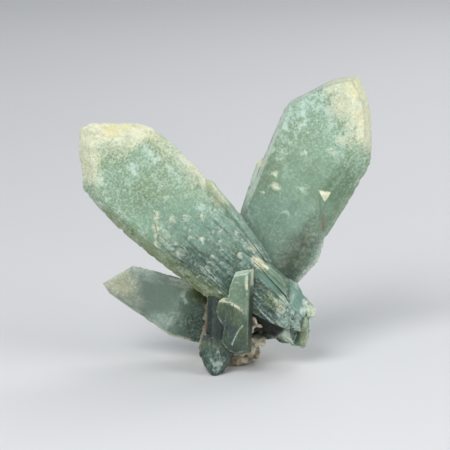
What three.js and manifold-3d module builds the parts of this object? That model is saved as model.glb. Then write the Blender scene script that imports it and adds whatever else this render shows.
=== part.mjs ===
// Prase quartz cluster: two broad blades of green quartz that cross in a V, a small smooth crystal that
// points left, a short upright crystal in front of the crossing, a blue-grey base crystal with the foot
// that the specimen stands on, and the remnant of host rock that they all grew from.
//
// Millimetres. +Z is up, +X is right and -Y is the front. The origin is the middle of the flat cut under
// the host rock, on which the specimen stands together with the foot of the base crystal.
//
// A crystal is described in its own frame: "across" runs over its broad face, "along" runs up its long
// axis towards the tip, and "out" stands on the front face. It starts as a block, and every facet is one
// plane that cuts the block. Overgrown plates, ribs and stubs are small crystals in the same frame.

import * as THREE from 'three';
import { ConvexGeometry } from 'three/addons/geometries/ConvexGeometry.js';
import { mergeVertices } from 'three/addons/utils/BufferGeometryUtils.js';
import Module from 'manifold-3d';

const wasm = await Module();
wasm.setup();

const vec = (x, y, z) => new THREE.Vector3(x, y, z);

// ---------------------------------------------------------------- driving dimensions (mm)

const JOINT_GAP = 0.3;              // clear joint between the crystals and the host rock
const WELD = 1e-4;                  // vertices closer than this are one
const CUTTER = 300;                 // edge of the block whose face makes a facet

// Each outline corner is [across, along, front bevel, back bevel]. The bevels belong to the edge that
// leaves the corner, counter-clockwise as seen from the front, and say how far the front and back
// facets of that edge run in over the broad faces.
const leftBlade = {
  root: vec(21.3, -8.4, 13),
  lean: vec(-0.73, 0.07, 0.68),
  faces: vec(0.11, -0.97, 0.22),
  front: 5.5,
  back: 7,
  outline: [
    [2.5, 2, 2, 5],
    [6.3, 15.5, 1.6, 6],
    [11.8, 36, 2, 7],
    [12.8, 54, 4.2, 6],
    [13.4, 66, 6, 5],
    [12.7, 73, 5, 6],
    [10.9, 76.9, 4, 7],
    [0.9, 87.6, 3, 6],
    [-2, 88.6, 2.5, 5],
    [-7, 84.8, 2.5, 6],
    [-14.8, 75.6, 2, 4],
    [-15.6, 70, 2, 4],
    [-16.2, 60, 2.2, 5],
    [-15.9, 52, 2.4, 6],
    [-14.9, 40, 2.4, 6],
    [-13.4, 26, 2.6, 6],
    [-9, 6, 3, 5],
    [-6, -2, 3, 4],
  ],
};

const rightBlade = {
  root: vec(5.5, 5.5, 20.9),
  lean: vec(0.454, 0.185, 0.872),
  faces: vec(-0.124, -0.955, 0.268),
  front: 6,
  back: 7.5,
  outline: [
    [8, -8, 3, 4],
    [12, 8.5, 3, 6],
    [13.9, 26, 5, 6],
    [15.2, 40, 3.4, 6],
    [15.7, 50.3, 1.2, 5],
    [14.2, 53.8, 1, 6],
    [11.9, 59, 1, 6],
    [10.3, 62, 1.2, 6],
    [5.7, 68.1, 1.6, 5],
    [-0.1, 72.8, 1.6, 6],
    [-6.3, 68.2, 1.4, 7],
    [-14.7, 56.8, 1.2, 5],
    [-15.4, 53.4, 1.2, 5],
    [-15.1, 48, 1.6, 6],
    [-12.9, 20, 2, 5],
    [-8, 3, 3, 4],
    [-4, -8, 3, 3],
  ],
};

// The parallel crystals in the right blade's frame: one behind its left edge, one laid on its lower front.
const leftEdgeCrystal = {
  ...rightBlade,
  front: 2.6,
  back: 4,
  outline: [
    [-8, 8, 1, 2],
    [-9, 36, 1, 2],
    [-14.6, 37.6, 1, 2],
    [-15.6, 34.8, 1.2, 2],
    [-14.5, 28, 1.2, 2],
    [-13.3, 19.6, 1.2, 2],
    [-10.5, 8, 1, 2],
  ],
};

const lowerFrontCrystal = {
  ...rightBlade,
  front: 7.6,
  back: 3,
  outline: [
    [6, -6, 3, 2],
    [12.5, 8.5, 1.6, 2],
    [15, 16.8, 1.4, 2],
    [14.2, 21.8, 1.2, 2],
    [13.3, 24.8, 0.8, 2],
    [6.6, 37.4, 1.4, 2],
    [2, 37, 2, 2],
    [-4, 22, 2, 2],
    [-4, -6, 2, 2],
  ],
  cuts: [{ at: vec(13, 24, 7.6), outward: vec(-0.13, 0.06, 1) }],
};

const smallCrystal = {
  root: vec(-7.8, 2.3, 12.2),
  lean: vec(-0.945, -0.02, 0.326),
  faces: vec(0.038, -0.998, 0.049),
  front: 4.5,
  back: 5.5,
  outline: [
    [9, -4, 2, 3],
    [10.1, 3.5, 1.6, 4],
    [9.6, 12.5, 1.4, 4],
    [9.5, 20.7, 1.6, 4],
    [8.5, 26.1, 2.6, 5],
    [0.7, 32.9, 1.6, 3],
    [-1.7, 30, 1.2, 4],
    [-6.1, 15.4, 1.2, 4],
    [-8.2, 8.4, 1.6, 4],
    [-7.6, -2, 2, 3],
    [-4, -6, 2, 3],
  ],
  cuts: [{ at: vec(0, 9.5, 4.5), outward: vec(-0.06, -0.42, 1) }],
};

const frontCrystal = {
  root: vec(3.6, -17.8, 6.7),
  lean: vec(0.03, 0.208, 0.978),
  faces: vec(-0.342, -0.917, 0.205),
  front: 4,
  back: 5,
  outline: [
    [2.5, 0.4, 0.3, 2],
    [2.6, 20, 0.3, 2],
    [2.5, 25.4, 1.5, 2],
    [-3, 24.2, 1, 2],
    [-4.5, 19.4, 1, 2],
    [-6.7, 3, 0.8, 2],
    [-4.2, 0.4, 0.8, 2],
    [-1.5, -0.4, 0.8, 2],
  ],
};

// A thin lobe on the left of the front crystal's foot.
const frontLobe = {
  ...frontCrystal,
  front: 3.95,
  back: 2.5,
  outline: [
    [-3.4, 6, 1, 1],
    [1.5, 8, 1, 1],
    [1.5, 13, 1, 1],
    [-2, 17, 1, 1],
    [-5.2, 17.3, 0.8, 1],
    [-7.2, 16.1, 0.8, 1],
    [-8.5, 13.5, 0.8, 1],
    [-8.4, 11.2, 0.8, 1],
    [-6, 7.4, 0.8, 1],
  ],
};

const baseCrystal = {
  root: vec(-4.8, -17.2, -0.2),
  lean: vec(-0.02, 0.309, 0.951),
  faces: vec(0.102, -0.945, 0.309),
  front: 2.6,
  back: 9,
  outline: [
    [8.8, 8, 1, 3],
    [10.2, 11, 1.4, 4],
    [11, 24, 2, 4],
    [-1.6, 26, 1.6, 3],
    [-2.8, 12, 1.4, 3],
    [-2, 6, 2, 3],
    [3, 6, 1, 3],
  ],
};

const footCrystal = {
  ...baseCrystal,
  front: 2.2,
  back: 8,
  outline: [
    [1.6, -0.8, 1, 2],
    [3.5, 2.6, 1, 3],
    [7.4, 7.6, 1, 3],
    [8, 13, 1.2, 3],
    [-3.4, 13.5, 1, 3],
    [-5, 9, 1.2, 3],
    [-4.2, 6, 1, 3],
    [-3, 2.4, 0.8, 3],
    [-0.8, -0.8, 0.8, 2],
  ],
};

// Crystals that grew side by side with the left blade, on its upper edge and over its lower front.
const upperEdgeCrystal = {
  ...leftBlade,
  front: 5.7,
  back: 3,
  outline: [
    [3, 16, 2, 2],
    [8.2, 19.5, 1.4, 2],
    [11.8, 36.5, 1.4, 2],
    [13.4, 49, 1.2, 2],
    [12.4, 51.2, 1.4, 2],
    [9, 46, 1.4, 2],
    [6.8, 34, 1.4, 2],
  ],
};

const ledgeCrystal = {
  ...leftBlade,
  front: 6.4,
  back: 2,
  outline: [
    [1, 4, 2, 2],
    [7.4, 12, 1.2, 2],
    [7.2, 21.5, 1.4, 2],
    [4.6, 25.2, 1.2, 2],
    [2.2, 22, 1, 2],
  ],
};

const overgrowth = {
  ...leftBlade,
  front: 6.5,
  back: 1,
  outline: [
    [-10, 22, 3, 1],
    [-4, 24, 5, 1],
    [-2.6, 44, 2, 1],
    [-5.2, 54.6, 1.1, 1],
    [-8.4, 55.4, 1, 1],
    [-12.6, 49, 1.2, 1],
    [-13, 38, 2.4, 1],
  ],
  cuts: [{ at: vec(-11, 45, 6.5), outward: vec(0.12, 0, 1) }],
};

// Fields of growth plates. Rows run across a broad face and climb from "from" to "to" along the crystal.
const SHIELD = [
  [0, 0.5], [0.3, 0.37], [0.5, 0.08], [0.34, -0.36], [0, -0.5], [-0.34, -0.36], [-0.5, 0.08], [-0.3, 0.37],
];
const PLATE_ROOTING = 0.8;          // how deep a plate reaches under the face that it grows on
const PLATE_TOP = 0.82;             // a plate's top, as a share of its foot
const TAIL_SINK = 0.2;              // share of its height by which a plate's tail ends under the face
const plateFields = [
  { crystal: leftBlade, side: 1, seed: 11, from: 26, to: 84, rowStep: 6.4, columnStep: 4.8, height: 0.6 },
  { crystal: leftBlade, side: -1, seed: 23, from: 14, to: 82, rowStep: 8, columnStep: 5.6, height: 0.75 },
  { crystal: rightBlade, side: 1, seed: 37, from: 12, to: 58, rowStep: 8, columnStep: 5.6, height: 0.4 },
  { crystal: rightBlade, side: -1, seed: 41, from: 6, to: 66, rowStep: 8, columnStep: 5.8, height: 0.75 },
];

// Plates that stand out from the rest, as [across, along, width, length, height].
const leftBladePlates = [
  [3.4, 31.5, 4.6, 10, 1],
  [3.6, 22, 5, 9, 1],
  [-3.4, 39, 4.4, 9, 0.9],
  [-0.4, 37, 3, 7, 0.9],
  [-1.5, 28, 5, 12, 0.8],
];
const rightBladePlates = [
  [-3.2, 41, 8, 10, 0.8],
  [-6.5, 30, 6, 9, 0.7],
];

// Long growth ribs that run down to the left blade's root, as [across, along, width, length, height].
const leftBladeRibs = [
  [-8.6, 14, 1, 19, 0.5],
  [-7, 17, 1.1, 26, 0.6],
  [-5.4, 12, 0.9, 22, 0.5],
  [-4, 16, 1.2, 24, 0.65],
  [-2.4, 11, 1, 20, 0.5],
  [-0.9, 14, 1.1, 22, 0.6],
  [0.6, 9, 0.9, 16, 0.5],
  [1.9, 13, 1, 17, 0.5],
];
const rightBladeRibs = [
  [-9, 22, 1, 16, 0.4],
  [-6.4, 20, 1.2, 20, 0.45],
  [-3.6, 17, 1, 16, 0.4],
];

// Broken quartz at the left blade's root, round the foot and on the stubs: irregular shards, as
// [x, y, z, width, depth, height].
const shards = [
  [23.7, -7.2, 16.9, 3.4, 4.4, 3.8],
  [21.8, -6.4, 19, 3, 5, 3.4],
  [21.3, -5.4, 9.2, 3.4, 6, 6],
  [21, -8.6, 14, 4, 5, 5],
  [19.4, -4.6, 7.4, 4, 6, 3.4],
  [16, -4.4, 8, 5, 6, 3],
  [12, -4, 9.4, 5, 6, 3.2],
  [-5.7, -15.4, 3.4, 3.6, 5, 4.6],
  [-3.8, -15.8, 1.6, 4, 4.4, 3.6],
  [-7.8, -14.4, 6.6, 3, 4.6, 4.2],
  [-3, -14.6, 4.6, 4, 4, 4],
  [5.4, -15.6, 7.4, 3, 3.6, 3],
];

// Broken stubs low on the back, between the blades' roots and the host rock.
const backStub = {
  root: vec(-3, 6, 9),
  lean: vec(-0.5, 0.62, 0.6),
  faces: vec(0.3, 0.5, 0.8),
  front: 3.4,
  back: 3.4,
  outline: [
    [3.6, -6, 1.5, 1.5],
    [4.2, 7, 1.5, 1.5],
    [1, 12.5, 1.6, 1.6],
    [-2.8, 10.4, 1.6, 1.6],
    [-4.4, 4, 1.5, 1.5],
    [-3.8, -6, 1.5, 1.5],
  ],
};

const sideStub = {
  root: vec(8, 4, 12),
  lean: vec(0.62, 0.5, 0.36),
  faces: vec(0.2, 0.55, -0.8),
  front: 3.6,
  back: 3,
  outline: [
    [3.4, -7, 1.5, 1.5],
    [4, 4, 1.5, 1.5],
    [2.2, 8.2, 1.4, 1.4],
    [-3, 7.4, 1.4, 1.4],
    [-4, 1, 1.5, 1.5],
    [-3.6, -7, 1.5, 1.5],
  ],
};

// The shallow curved fracture across the lower front of the front crystal, in that crystal's frame.
const fracture = { centre: vec(-8, 2.5, 43.1), radius: 41.3, detail: 16 };

// The blade's broken root: a front slab in the blade's own plane and a lower slab behind it.
const rootFrontSlab = {
  ...leftBlade,
  front: 5,
  back: 3,
  outline: [
    [-1.6, -1, 1, 1],
    [6, 2.6, 4, 2],
    [8.3, 9.7, 5, 2],
    [6.1, 17, 3, 2],
    [-4, 24, 2, 2],
    [-9, 16, 1.4, 2],
    [-8, 10, 1.2, 2],
    [-5.4, 3.4, 1, 2],
  ],
};

const rootRearSlab = {
  ...leftBlade,
  root: vec(21.9, -3.2, 11.8),
  front: 3,
  back: 5,
  outline: [
    [-5.6, -4.6, 1, 1],
    [-3.6, -4.9, 1, 1],
    [2.6, -1, 1, 2],
    [6.4, 2, 1, 3],
    [7, 12, 2, 3],
    [-2, 26, 2, 3],
    [-9, 12, 1.6, 3],
    [-9, 5, 1, 2],
    [-7.6, 1.2, 0.8, 2],
  ],
};

// The host rock: a rough lump, and angular chips that stand out of it.
const rock = { centre: vec(-0.8, 4, 6), radii: vec(8.6, 11.5, 12), roughness: 0.12, detail: 4 };
const rockChips = [
  [7.6, -2.6, 7, 5.4, 6, 3.6],
  [6.6, -2, 3.2, 4.6, 7, 4.6],
  [3.4, -5.4, 1.6, 6.5, 5, 3.8],
  [0.4, -5.8, 1.4, 5.4, 5.4, 3.4],
  [5.4, -6.4, 5, 4.6, 5, 3.4],
  [2.2, -7.6, 4.4, 4.6, 5, 3.4],
  [-6.4, -1.6, 6, 5, 6, 7],
  [-7, 6, 3, 6, 8, 6],
  [2.4, 13, 3, 7, 5, 6],
  [6.4, 7, 4, 5, 7, 6],
  [-3, 12.6, 8, 6, 5, 6],
  [-6, 9, 13, 5, 6, 5],
  [3.4, 12, 12, 6, 5, 6],
];

// ---------------------------------------------------------------- helpers

function makeRandom(seed) {
  let state = seed;
  return (low = 0, high = 1) => {
    state = (state * 1664525 + 1013904223) % 4294967296;
    return low + (high - low) * (state / 4294967296);
  };
}

// A copy of a geometry with only its corners, each kept once.
function bareGeometry(geometry) {
  const bare = geometry.clone();
  bare.deleteAttribute('normal');
  bare.deleteAttribute('uv');
  return mergeVertices(bare, WELD);
}

function solidOf(geometry, place = new THREE.Matrix4()) {
  const merged = bareGeometry(geometry).applyMatrix4(place);
  return new wasm.Manifold(new wasm.Mesh({
    numProp: 3,
    vertProperties: merged.attributes.position.array,
    triVerts: merged.index.array,
  }));
}

function geometryOf(solid) {
  const mesh = solid.getMesh();
  const geometry = new THREE.BufferGeometry();
  geometry.setAttribute('position', new THREE.BufferAttribute(mesh.vertProperties.slice(), 3));
  geometry.setIndex(new THREE.BufferAttribute(mesh.triVerts.slice(), 1));
  return geometry;
}

const joinAll = (solids) => solids.reduce((whole, solid) => whole.add(solid));

// Takes away everything beyond the plane through a point with this outward normal.
function cutBeyond(solid, point, outward) {
  const turn = new THREE.Quaternion().setFromUnitVectors(vec(0, 0, 1), outward.clone().normalize());
  const place = new THREE.Matrix4().compose(point, turn, vec(1, 1, 1));
  const cutter = new THREE.BoxGeometry(CUTTER, CUTTER, CUTTER).translate(0, 0, CUTTER / 2);
  return solid.subtract(solidOf(cutter, place));
}

// The matrix that carries a crystal's own frame into the cluster.
function placeOf({ root, lean, faces }) {
  const along = lean.clone().normalize();
  const across = vec(0, 0, 0).crossVectors(along, faces).normalize();
  const out = vec(0, 0, 0).crossVectors(across, along);
  return new THREE.Matrix4().makeBasis(across, along, out).setPosition(root);
}

const placed = (solid, crystal) => solid.transform(placeOf(crystal).elements);

// A faceted crystal in its own frame. "grow" moves every facet outwards, to cut the rock clear of it.
function facetedCrystal({ front, back, outline, cuts = [] }, grow = 0) {
  const thickness = front + back + 2 * grow;
  const block = new THREE.BoxGeometry(CUTTER, CUTTER, thickness).translate(0, 0, (front - back) / 2);
  let solid = solidOf(block);
  outline.forEach(([across, along, frontBevel, backBevel], index) => {
    const [nextAcross, nextAlong] = outline[(index + 1) % outline.length];
    const edgeOut = vec(nextAlong - along, across - nextAcross, 0).normalize();
    const corner = vec(across, along, 0).addScaledVector(edgeOut, grow);
    solid = cutBeyond(solid, corner, edgeOut.clone().multiplyScalar(front).setZ(frontBevel));
    solid = cutBeyond(solid, corner, edgeOut.clone().multiplyScalar(back).setZ(-backBevel));
  });
  for (const { at, outward } of cuts) {
    solid = cutBeyond(solid, at.clone().addScaledVector(outward.clone().normalize(), grow), outward);
  }
  return solid;
}

// A thin solid in a crystal's own frame: its outline, scaled to width and length, stands proud of the
// face by the height at its head (high "along") and sinks into it at its tail.
function platedSolid(outline, { across, along, width, length, height }, level, side) {
  const points = [];
  for (const [x, y] of outline) {
    const rise = height * ((1 + TAIL_SINK) * (y + 0.5) - TAIL_SINK);
    const low = level - PLATE_ROOTING;
    points.push(vec(across + x * width * PLATE_TOP, along + y * length * PLATE_TOP, side * (level + rise)));
    points.push(vec(across + x * width, along + y * length, side * low));
  }
  return solidOf(new ConvexGeometry(points));
}

const spread = ([across, along, width, length, height]) => ({ across, along, width, length, height });

// How far a point of the broad face is from the nearest facet of that face.
function roomOnFace({ outline }, across, along, side) {
  return Math.min(...outline.map(([u, v, frontBevel, backBevel], index) => {
    const [nextU, nextV] = outline[(index + 1) % outline.length];
    const run = Math.hypot(nextU - u, nextV - v);
    const inside = ((nextU - u) * (along - v) - (nextV - v) * (across - u)) / run;
    return inside - (side > 0 ? frontBevel : backBevel);
  }));
}

function plateField({ crystal, side, seed, from, to, rowStep, columnStep, height }) {
  const random = makeRandom(seed);
  const level = side > 0 ? crystal.front : crystal.back;
  const reach = 18;
  const plates = [];
  let stagger = 0;
  for (let row = from; row < to; row += rowStep) {
    stagger = columnStep / 2 - stagger;
    for (let column = -reach + stagger; column < reach; column += columnStep) {
      const plate = {
        across: column + random(-0.2, 0.2) * columnStep,
        along: row + random(-0.3, 0.3) * rowStep,
        width: columnStep * random(0.6, 1.05),
        length: rowStep * random(1, 1.9),
        height: height * random(0.6, 1.3),
      };
      const atMiddle = roomOnFace(crystal, plate.across, plate.along, side);
      const atHead = roomOnFace(crystal, plate.across, plate.along + plate.length / 2, side);
      if (atMiddle > plate.width / 3 && atHead > plate.width / 4) {
        plates.push(platedSolid(SHIELD, plate, level, side));
      }
    }
  }
  return placed(joinAll(plates), crystal);
}

const RIB = [[0, 0.5], [0.5, 0.3], [0.5, -0.5], [-0.5, -0.5], [-0.5, 0.3]];

function reliefOn(crystal, plates, ribs) {
  const solids = [
    ...plates.map((plate) => platedSolid(SHIELD, spread(plate), crystal.front, 1)),
    ...ribs.map((rib) => platedSolid(RIB, spread(rib), crystal.front, 1)),
  ];
  return placed(joinAll(solids), crystal);
}

// An irregular angular lump: a box whose corners are moved at random and whose faces bulge.
function brokenLump([x, y, z, width, depth, height], random) {
  const points = [];
  for (const sideX of [-1, 1]) {
    for (const sideY of [-1, 1]) {
      for (const sideZ of [-1, 1]) {
        const corner = vec(sideX * random(0.5, 1), sideY * random(0.5, 1), sideZ * random(0.5, 1));
        points.push(corner.multiply(vec(width / 2, depth / 2, height / 2)).add(vec(x, y, z)));
      }
    }
  }
  for (const [dx, dy, dz] of [[1, 0, 0], [-1, 0, 0], [0, 1, 0], [0, -1, 0], [0, 0, 1], [0, 0, -1]]) {
    const bulge = random(0.42, 0.58);
    points.push(vec(x + dx * width * bulge, y + dy * depth * bulge, z + dz * height * bulge));
  }
  return solidOf(new ConvexGeometry(points));
}

const crystals = [
  leftBlade, upperEdgeCrystal, ledgeCrystal, overgrowth, rootFrontSlab, rootRearSlab,
  rightBlade, leftEdgeCrystal, lowerFrontCrystal,
  smallCrystal, baseCrystal, footCrystal, backStub, sideStub,
];

// These two lost a part of their front to the fracture.
const brokenCrystals = [frontCrystal, frontLobe];

function crystalCluster() {
  const random = makeRandom(5);
  const scoop = new THREE.IcosahedronGeometry(fracture.radius, fracture.detail).translate(...fracture.centre);
  const broken = joinAll(brokenCrystals.map((crystal) => facetedCrystal(crystal))).subtract(solidOf(scoop));
  const cluster = joinAll([
    placed(broken, frontCrystal),
    ...crystals.map((crystal) => placed(facetedCrystal(crystal), crystal)),
    ...plateFields.map(plateField),
    reliefOn(leftBlade, leftBladePlates, leftBladeRibs),
    reliefOn(rightBlade, rightBladePlates, rightBladeRibs),
    ...shards.map((shard) => brokenLump(shard, random)),
  ]);
  return cutBeyond(cluster, vec(0, 0, 0), vec(0, 0, -1));
}

function hostRock() {
  const random = makeRandom(7);
  const lump = bareGeometry(new THREE.IcosahedronGeometry(1, rock.detail));
  const position = lump.attributes.position;
  for (let index = 0; index < position.count; index += 1) {
    const reach = 1 + random(-rock.roughness, rock.roughness);
    const point = vec(0, 0, 0).fromBufferAttribute(position, index).multiplyScalar(reach);
    position.setXYZ(index, ...point.multiply(rock.radii).add(rock.centre));
  }
  const chips = rockChips.map((chip) => brokenLump(chip, random));
  let solid = joinAll([solidOf(lump), ...chips]);
  for (const crystal of [...crystals, ...brokenCrystals]) {
    solid = solid.subtract(placed(facetedCrystal(crystal, JOINT_GAP), crystal));
  }
  return cutBeyond(solid, vec(0, 0, 0), vec(0, 0, -1));
}

// ---------------------------------------------------------------- the specimen

const praseGreen = new THREE.MeshStandardMaterial({ color: 0x93a893, roughness: 0.55, metalness: 0 });
const rockBrown = new THREE.MeshStandardMaterial({ color: 0xb3a48c, roughness: 0.9, metalness: 0 });

const specimen = new THREE.Group();

const clusterMesh = new THREE.Mesh(geometryOf(crystalCluster()), praseGreen);
clusterMesh.name = 'crystal_cluster';
specimen.add(clusterMesh);

const rockMesh = new THREE.Mesh(geometryOf(hostRock()), rockBrown);
rockMesh.name = 'matrix';
specimen.add(rockMesh);

export default specimen;
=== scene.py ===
"""Prase quartz cluster: two broad green blades that cross in a V, a small smooth crystal that points left,
a short upright crystal in front of the crossing, a blue-grey base with its foot, and the host rock.

Every crystal is cut from a block in its own frame: "across" runs over its broad face, "along" runs up its
long axis, and "out" stands on the front face. Lengths in the tables are millimetres.
"""
import math

import bmesh
import bpy
import numpy as np
from bpy.props import FloatProperty, FloatVectorProperty, PointerProperty
from mathutils import Matrix, Vector


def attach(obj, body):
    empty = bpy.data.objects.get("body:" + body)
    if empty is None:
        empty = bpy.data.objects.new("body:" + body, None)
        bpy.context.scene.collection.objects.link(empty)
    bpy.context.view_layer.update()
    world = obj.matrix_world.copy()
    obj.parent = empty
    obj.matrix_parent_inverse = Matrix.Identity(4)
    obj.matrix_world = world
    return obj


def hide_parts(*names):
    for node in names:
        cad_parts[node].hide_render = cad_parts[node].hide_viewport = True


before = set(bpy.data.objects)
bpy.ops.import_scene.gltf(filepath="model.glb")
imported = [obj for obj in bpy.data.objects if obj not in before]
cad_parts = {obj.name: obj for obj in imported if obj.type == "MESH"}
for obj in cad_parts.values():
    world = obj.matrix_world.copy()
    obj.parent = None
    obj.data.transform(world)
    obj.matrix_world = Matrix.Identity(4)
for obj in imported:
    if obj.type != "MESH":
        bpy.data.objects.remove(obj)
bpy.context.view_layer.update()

bl_info = {
    "name": "Prase quartz cluster",
    "version": (1, 0, 0),
    "blender": (4, 5, 0),
    "location": "3D View > Sidebar > Prase",
    "description": "Builds a cluster of green quartz crystals on a remnant of host rock",
    "category": "Add Mesh",
}

MM = 0.001
NODE = "crystal_cluster"
EDGE_SOFTNESS = 0.12  # how quickly one facet's direction gives way to the next, in millimetres
OFF_CORNERS = 0.00037  # moves the lattice cuts off the crystals' own corners, in millimetres
SHARD_VOXEL, ROCK_VOXEL = 0.3, 0.36  # grain of the remeshed skins, in millimetres

# ---------------------------------------------------------------- the crystals

# Root is where a crystal's own frame stands, lean its long axis, and faces roughly where its front looks.
# Front and back are how far it reaches before and behind that frame. Each outline corner is (across, along,
# front bevel, back bevel), counter-clockwise from the front, and a bevel is how far in the side facet has
# come at the front or back face. Cuts are further planes, as (point, way out).
LEFT_BLADE = {
    "root": (21.3, -8.4, 13), "lean": (-0.73, 0.07, 0.68), "faces": (0.11, -0.97, 0.22),
    "front": 5.5, "back": 7,
    "outline": [
        (2.5, 2, 2, 5), (6.3, 15.5, 1.6, 6), (11.8, 36, 2, 7), (12.8, 54, 4.2, 6), (13.4, 66, 6, 5),
        (12.7, 73, 5, 6), (10.9, 76.9, 4, 7), (0.9, 87.6, 3, 6), (-2, 88.6, 2.5, 5), (-7, 84.8, 2.5, 6),
        (-14.8, 75.6, 2, 4), (-15.6, 70, 2, 4), (-16.2, 60, 2.2, 5), (-15.9, 52, 2.4, 6),
        (-14.9, 40, 2.4, 6), (-13.4, 26, 2.6, 6), (-9, 6, 3, 5), (-6, -2, 3, 4),
    ],
}
RIGHT_BLADE = {
    "root": (5.5, 5.5, 20.9), "lean": (0.454, 0.185, 0.872), "faces": (-0.124, -0.955, 0.268),
    "front": 6, "back": 7.5,
    "outline": [
        (8, -8, 3, 4), (12, 8.5, 3, 6), (13.9, 26, 5, 6), (15.2, 40, 3.4, 6), (15.7, 50.3, 1.2, 5),
        (14.2, 53.8, 1, 6), (11.9, 59, 1, 6), (10.3, 62, 1.2, 6), (5.7, 68.1, 1.6, 5),
        (-0.1, 72.8, 1.6, 6), (-6.3, 68.2, 1.4, 7), (-14.7, 56.8, 1.2, 5), (-15.4, 53.4, 1.2, 5),
        (-15.1, 48, 1.6, 6), (-12.9, 20, 2, 5),
        (-8, 3, 3, 4), (-4, -8, 3, 3),
    ],
}
LEFT_EDGE_CRYSTAL = {
    **RIGHT_BLADE, "front": 2.6, "back": 4,
    "outline": [
        (-8, 8, 1, 2), (-9, 36, 1, 2), (-14.6, 37.6, 1, 2), (-15.6, 34.8, 1.2, 2), (-14.5, 28, 1.2, 2),
        (-13.3, 19.6, 1.2, 2), (-10.5, 8, 1, 2),
    ],
}
LOWER_FRONT_CRYSTAL = {
    **RIGHT_BLADE, "front": 7.6, "back": 3,
    "outline": [
        (6, -6, 3, 2), (12.5, 8.5, 1.6, 2), (15, 16.8, 1.4, 2), (14.2, 21.8, 1.2, 2),
        (13.3, 24.8, 0.8, 2), (6.6, 37.4, 1.4, 2), (2, 37, 2, 2), (-4, 22, 2, 2), (-4, -6, 2, 2),
    ],
    "cuts": [((13, 24, 7.6), (-0.13, 0.06, 1))],
}
SMALL_CRYSTAL = {
    "root": (-7.8, 2.3, 12.2), "lean": (-0.945, -0.02, 0.326), "faces": (0.038, -0.998, 0.049),
    "front": 4.5, "back": 5.5,
    "outline": [
        (9, -4, 2, 3), (10.1, 3.5, 1.6, 4), (9.6, 12.5, 1.4, 4), (9.5, 20.7, 1.6, 4), (8.5, 26.1, 2.6, 5),
        (0.7, 32.9, 1.6, 3), (-1.7, 30, 1.2, 4), (-6.1, 15.4, 1.2, 4), (-8.2, 8.4, 1.6, 4),
        (-7.6, -2, 2, 3), (-4, -6, 2, 3),
    ],
    "cuts": [((0, 9.5, 4.5), (-0.06, -0.42, 1))],
}
FRONT_CRYSTAL = {
    "root": (3.6, -17.8, 6.7), "lean": (0.03, 0.208, 0.978), "faces": (-0.342, -0.917, 0.205),
    "front": 4, "back": 5,
    "outline": [
        (2.5, 0.4, 0.3, 2), (2.6, 20, 0.3, 2), (2.5, 25.4, 1.5, 2), (-3, 24.2, 1, 2), (-4.5, 19.4, 1, 2),
        (-6.7, 3, 0.8, 2), (-4.2, 0.4, 0.8, 2), (-1.5, -0.4, 0.8, 2),
    ],
}
FRONT_LOBE = {
    **FRONT_CRYSTAL, "front": 3.95, "back": 2.5,
    "outline": [
        (-3.4, 6, 1, 1), (1.5, 8, 1, 1), (1.5, 13, 1, 1), (-2, 17, 1, 1), (-5.2, 17.3, 0.8, 1),
        (-7.2, 16.1, 0.8, 1), (-8.5, 13.5, 0.8, 1), (-8.4, 11.2, 0.8, 1), (-6, 7.4, 0.8, 1),
    ],
}
BASE_CRYSTAL = {
    "root": (-4.8, -17.2, -0.2), "lean": (-0.02, 0.309, 0.951), "faces": (0.102, -0.945, 0.309),
    "front": 2.6, "back": 9,
    "outline": [
        (8.8, 8, 1, 3), (10.2, 11, 1.4, 4), (11, 24, 2, 4), (-1.6, 26, 1.6, 3), (-2.8, 12, 1.4, 3),
        (-2, 6, 2, 3), (3, 6, 1, 3),
    ],
}
FOOT_CRYSTAL = {
    **BASE_CRYSTAL, "front": 2.2, "back": 8,
    "outline": [
        (1.6, -0.8, 1, 2), (3.5, 2.6, 1, 3), (7.4, 7.6, 1, 3), (8, 13, 1.2, 3), (-3.4, 13.5, 1, 3),
        (-5, 9, 1.2, 3), (-4.2, 6, 1, 3), (-3, 2.4, 0.8, 3), (-0.8, -0.8, 0.8, 2),
    ],
}
UPPER_EDGE_CRYSTAL = {
    **LEFT_BLADE, "front": 5.7, "back": 3,
    "outline": [
        (3, 16, 2, 2), (8.2, 19.5, 1.4, 2), (11.8, 36.5, 1.4, 2), (13.4, 49, 1.2, 2), (12.4, 51.2, 1.4, 2),
        (9, 46, 1.4, 2), (6.8, 34, 1.4, 2),
    ],
}
LEDGE_CRYSTAL = {
    **LEFT_BLADE, "front": 6.4, "back": 2,
    "outline": [(1, 4, 2, 2), (7.4, 12, 1.2, 2), (7.2, 21.5, 1.4, 2), (4.6, 25.2, 1.2, 2), (2.2, 22, 1, 2)],
}
OVERGROWTH = {
    **LEFT_BLADE, "front": 6.5, "back": 1,
    "outline": [
        (-10, 22, 3, 1), (-4, 24, 5, 1), (-2.6, 44, 2, 1), (-5.2, 54.6, 1.1, 1), (-8.4, 55.4, 1, 1),
        (-12.6, 49, 1.2, 1), (-13, 38, 2.4, 1),
    ],
    "cuts": [((-11, 45, 6.5), (0.12, 0, 1))],
}
ROOT_FRONT_SLAB = {
    **LEFT_BLADE, "front": 5, "back": 3,
    "outline": [
        (-1.6, -1, 1, 1), (6, 2.6, 4, 2), (8.3, 9.7, 5, 2), (6.1, 17, 3, 2), (-4, 24, 2, 2),
        (-9, 16, 1.4, 2), (-8, 10, 1.2, 2), (-5.4, 3.4, 1, 2),
    ],
}
ROOT_REAR_SLAB = {
    **LEFT_BLADE, "root": (21.9, -3.2, 11.8), "front": 3, "back": 5,
    "outline": [
        (-5.6, -4.6, 1, 1), (-3.6, -4.9, 1, 1), (2.6, -1, 1, 2), (6.4, 2, 1, 3), (7, 12, 2, 3),
        (-2, 26, 2, 3), (-9, 12, 1.6, 3), (-9, 5, 1, 2), (-7.6, 1.2, 0.8, 2),
    ],
}
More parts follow.
